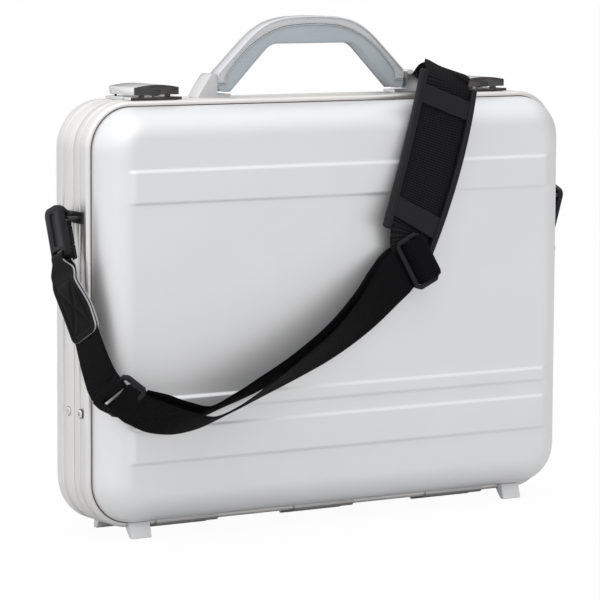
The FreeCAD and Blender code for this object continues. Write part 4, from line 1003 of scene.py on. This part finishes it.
def tab_loop(word, origin, turn):
    """The leather round the clip's bar, between the necks of the two plies."""
    half, low, high = PLY / 2, -TAB_GAP - PLY / 2, CLIP_BAR + TAB_GAP + PLY / 2
    back, front = -CLIP_THICKNESS - TAB_GAP - half, TAB_GAP + half
    path = round_corners([(back, low - 1.5), (front, low - 1.5), (front, high), (back, high)], 3.0, 6)
    middle = sum(path, Vector((0.0, 0.0))) / len(path)
    rings = []
    for place in path + path[:1]:
        away = (place - middle).normalized() * (half - EDGE_THIN / 2)
        rings.append([origin + turn @ Vector((x, place.x + away.x * way, place.y + away.y * way))
                      for x, way in ((-NECK / 2, -1), (NECK / 2, -1), (NECK / 2, 1), (-NECK / 2, 1))])
    return loft("tab_loop_" + word, rings, caps=False, angle=50.0)


def tab(side, word, lower):
    """Two leather plies sewn to the webbing, and the loop that holds them to the clip's bar."""
    origin, turn = clip_frame(side)
    across = turn @ Vector((1, 0, 0))
    upper = []
    for fall in (0.0, 6.0, 13.0, 21.0):
        place = origin + turn @ Vector((0, -CLIP_THICKNESS / 2, -TAB_GAP - PLY / 2 - fall))
        upper.append((tuple(place), tuple(across)))
    line = stations_line(upper + lower, 0.7)
    falls = lengths_along(line)
    outward = 1 if line[0][2].x * side > 0 else -1
    faced = [(centre, a * outward, out * outward, wide) for centre, a, out, wide in line]
    for name, shift in (("front", PLY_SHIFT), ("back", -PLY_SHIFT)):
        label = "tab_%s_%s" % (name, word)
        item, outline = ply(label, faced, falls, shift, name == "front")
        dress(item, "leather", "lid")
        dress(cut_edge(label + "_edge", outline), "edge", "lid")
    item = tab_loop(word, origin, turn)
    dress(item, "leather", "lid")
    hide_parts("strap_tab_" + word)


# ------------ pad

def pad_bar(name, low, high, radius):
    """One bar of the pad's frame, with rounded edges and bent along with the pad."""
    middle = [(low[k] + high[k]) / 2 for k in range(2)]
    half = [(high[k] - low[k]) / 2 for k in range(2)]
    corners = [(low[0], low[1]), (high[0], low[1]), (high[0], high[1]), (low[0], high[1])]
    outline = round_corners(corners, radius, 3)
    ends = [(radius * (1 - math.sin(a)), radius * (1 - math.cos(a)))
            for a in (math.pi / 2, math.pi / 3, math.pi / 6, 0.0)]
    steps = max(2, round((high[2] - low[2]) / 6.0))
    levels = [(low[2] + rise, inset) for rise, inset in ends]
    levels += [(low[2] + radius + (high[2] - low[2] - 2 * radius) * k / steps, 0.0)
               for k in range(1, steps)]
    levels += [(high[2] - rise, inset) for rise, inset in reversed(ends)]
    rings = [[on_pad(middle[0] + (p.x - middle[0]) * (1 - inset / half[0]),
                     middle[1] + (p.y - middle[1]) * (1 - inset / half[1]), z) for p in outline]
             for z, inset in levels]
    return loft(name, rings, angle=40.0)


def pad_form():
    """The pad's moulded frame: two rails and, at each end, a bridge over the webbing and a back."""
    outer, inner = 28.5, 23.2               # half widths outside and between the rails
    window, bridge_end, back_end = 42.0, 59.0, PAD_HALF - 2.0
    reach = inner + 0.6                     # the bridges and backs end inside the rails
    bars = []
    for side in (-1, 1):
        near, far = sorted((side * inner, side * outer))
        bars.append(("rail", (near, -PAD_DEPTH, -PAD_HALF), (far, 0.0, PAD_HALF), 1.6))
        low, high = sorted((side * window, side * bridge_end))
        bars.append(("bridge", (-reach, -5.9, low), (reach, -4.2, high), 0.6))
        low, high = sorted((side * window, side * back_end))
        bars.append(("back", (-reach, -1.4, low), (reach, 0.0, high), 0.5))
    for number, (word, low, high, radius) in enumerate(bars):
        item = pad_bar("pad_%s_%d" % (word, number), low, high, radius)
        dress(item, "rubber", "lid")
        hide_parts("pad_frame")


# ------------ the whole strap

def webbing():
    """The strap's webbing; the rear band also stands for the right-hand one of the CAD."""
    for name, key, stations in (
            ("side", "web", SIDE_WEB), ("outer", "web", FRONT_OUTER + LACED),
            ("inner", "web", FRONT_INNER + LACED[-1:]), ("pad", "inlay", PAD_WEB),
            ("rear", "web", REAR_WEB)):
        item = web_band("web_" + name, stations)
        dress(item, key, "lid")
        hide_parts("strap_web_" + name)
    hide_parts("strap_web_rear", "strap_web_right")
    dress(ribbon("web_fold", CORNER_FOLD), "web", "lid")


def strap():
    """The webbing, its leather tabs, clips and gates, the slider and adjuster, and the pad."""
    webbing()
    tab(-1, "left", LEFT_TAB)
    tab(1, "right", RIGHT_TAB)
    for word in SIDES:
        clip = polished("strap_clip_" + word, 0.9)
        dress(clip, "black", "lid")
        gate = polished("clip_gate_" + word, 0.5)
        dress(gate, "black", "gate_" + word)
    for label, reshape in (("strap_slider", None), ("strap_adjuster", leaning)):
        item = polished(label, 0.9, reshape=reshape)
        dress(item, "black", "lid")
    pad_form()


strap()


# ------------ camera, light, floor

CAMERA_PLACE = Vector((-1.465, -2.289, 0.485))
YAW, PITCH, ROLL = (math.radians(turn) for turn in (32.34, -6.435, 0.286))
CAMERA_LENS = 197.94
FLOOR_REACH = 30.0
FLOOR_SHADES = (0.67, 0.69)
FLOOR_GLOW = 0.96           # how much of the white that the camera sees comes without light
LIGHT_FROM = (-0.42, -0.1, 0.6)
WORLD_SPAN = (-0.45, 0.55)  # along that direction, from the dark to the bright side
WORLD_STRENGTHS = (0.42, 1.4)


def camera():
    level = Vector((math.cos(YAW), -math.sin(YAW), 0.0))
    ahead = Vector((math.sin(YAW), math.cos(YAW), 0.0)) * math.cos(PITCH)
    ahead.z = math.sin(PITCH)
    above = level.cross(ahead)
    right = level * math.cos(ROLL) + above * math.sin(ROLL)
    up = above * math.cos(ROLL) - level * math.sin(ROLL)
    data = bpy.data.cameras.new("camera")
    data.lens = CAMERA_LENS
    data.sensor_width = 36.0
    data.clip_end = 50.0
    item = in_scene("camera", data)
    turn = Matrix((right, up, -ahead)).transposed().to_4x4()
    item.matrix_world = Matrix.Translation(CAMERA_PLACE) @ turn
    bpy.context.scene.camera = item


def lamp(name, place, target, size, power):
    data = bpy.data.lights.new(name, "AREA")
    data.shape = "RECTANGLE"
    data.size, data.size_y = size
    data.energy = power
    item = in_scene(name, data)
    item.location = place
    item.rotation_euler = (Vector(target) - Vector(place)).to_track_quat("-Z", "Y").to_euler()


def floor():
    """A pale floor that keeps the shadow, and that the camera sees as nearly white."""
    made, tree, link = with_nodes(bpy.data.materials.new("floor_white"))
    tree.nodes.clear()
    output = node(tree, "OutputMaterial")
    matt = node(tree, "BsdfDiffuse")
    grain = node(tree, "TexNoise", Scale=40.0)
    tint = node(tree, "MapRange", To_Min=FLOOR_SHADES[0], To_Max=FLOOR_SHADES[1])
    link(grain.outputs["Fac"], tint.inputs["Value"])
    link(tint.outputs["Result"], matt.inputs["Color"])
    glow = node(tree, "Emission", Strength=1.0)
    path = node(tree, "LightPath")
    mix = node(tree, "MixShader")
    seen = node(tree, "Math", operation="MULTIPLY")
    seen.inputs[1].default_value = FLOOR_GLOW
    link(path.outputs["Is Camera Ray"], seen.inputs[0])
    link(seen.outputs[0], mix.inputs["Fac"])
    link(matt.outputs[0], mix.inputs[1])
    link(glow.outputs[0], mix.inputs[2])
    link(mix.outputs[0], output.inputs["Surface"])
    mesh = bpy.data.meshes.new("floor")
    corners = [(x * FLOOR_REACH, y * FLOOR_REACH, 0) for x, y in ((-1, -1), (1, -1), (1, 1), (-1, 1))]
    mesh.from_pydata(corners, [], [(0, 1, 2, 3)])
    mesh.materials.append(made)
    in_scene("floor", mesh)


def world():
    """Plain white to the camera; to the surfaces a soft studio, darker below and to the right."""
    made, tree, link = with_nodes(bpy.data.worlds.new("studio"))
    bpy.context.scene.world = made
    back = fill(tree.nodes["Background"], Color=(1, 1, 1, 1))
    path = node(tree, "LightPath")
    place = node(tree, "TexCoord")
    aim = node(tree, "VectorMath", operation="DOT_PRODUCT")
    aim.inputs[1].default_value = LIGHT_FROM
    link(place.outputs["Generated"], aim.inputs[0])
    height = node(tree, "MapRange", interpolation_type="SMOOTHSTEP",
                  From_Min=WORLD_SPAN[0], From_Max=WORLD_SPAN[1],
                  To_Min=WORLD_STRENGTHS[0], To_Max=WORLD_STRENGTHS[1])
    link(aim.outputs["Value"], height.inputs["Value"])
    pick = node(tree, "Mix", data_type="FLOAT", B=1.0)
    link(path.outputs["Is Camera Ray"], pick.inputs["Factor"])
    link(height.outputs["Result"], pick.inputs["A"])
    link(pick.outputs["Result"], back.inputs["Strength"])


camera()
world()
floor()
lamp("key", (-0.6, -1.8, 2.6), (0, 0, 0.15), (2.4, 2.4), 17.0)
scene = bpy.context.scene
scene.view_settings.view_transform = "Standard"
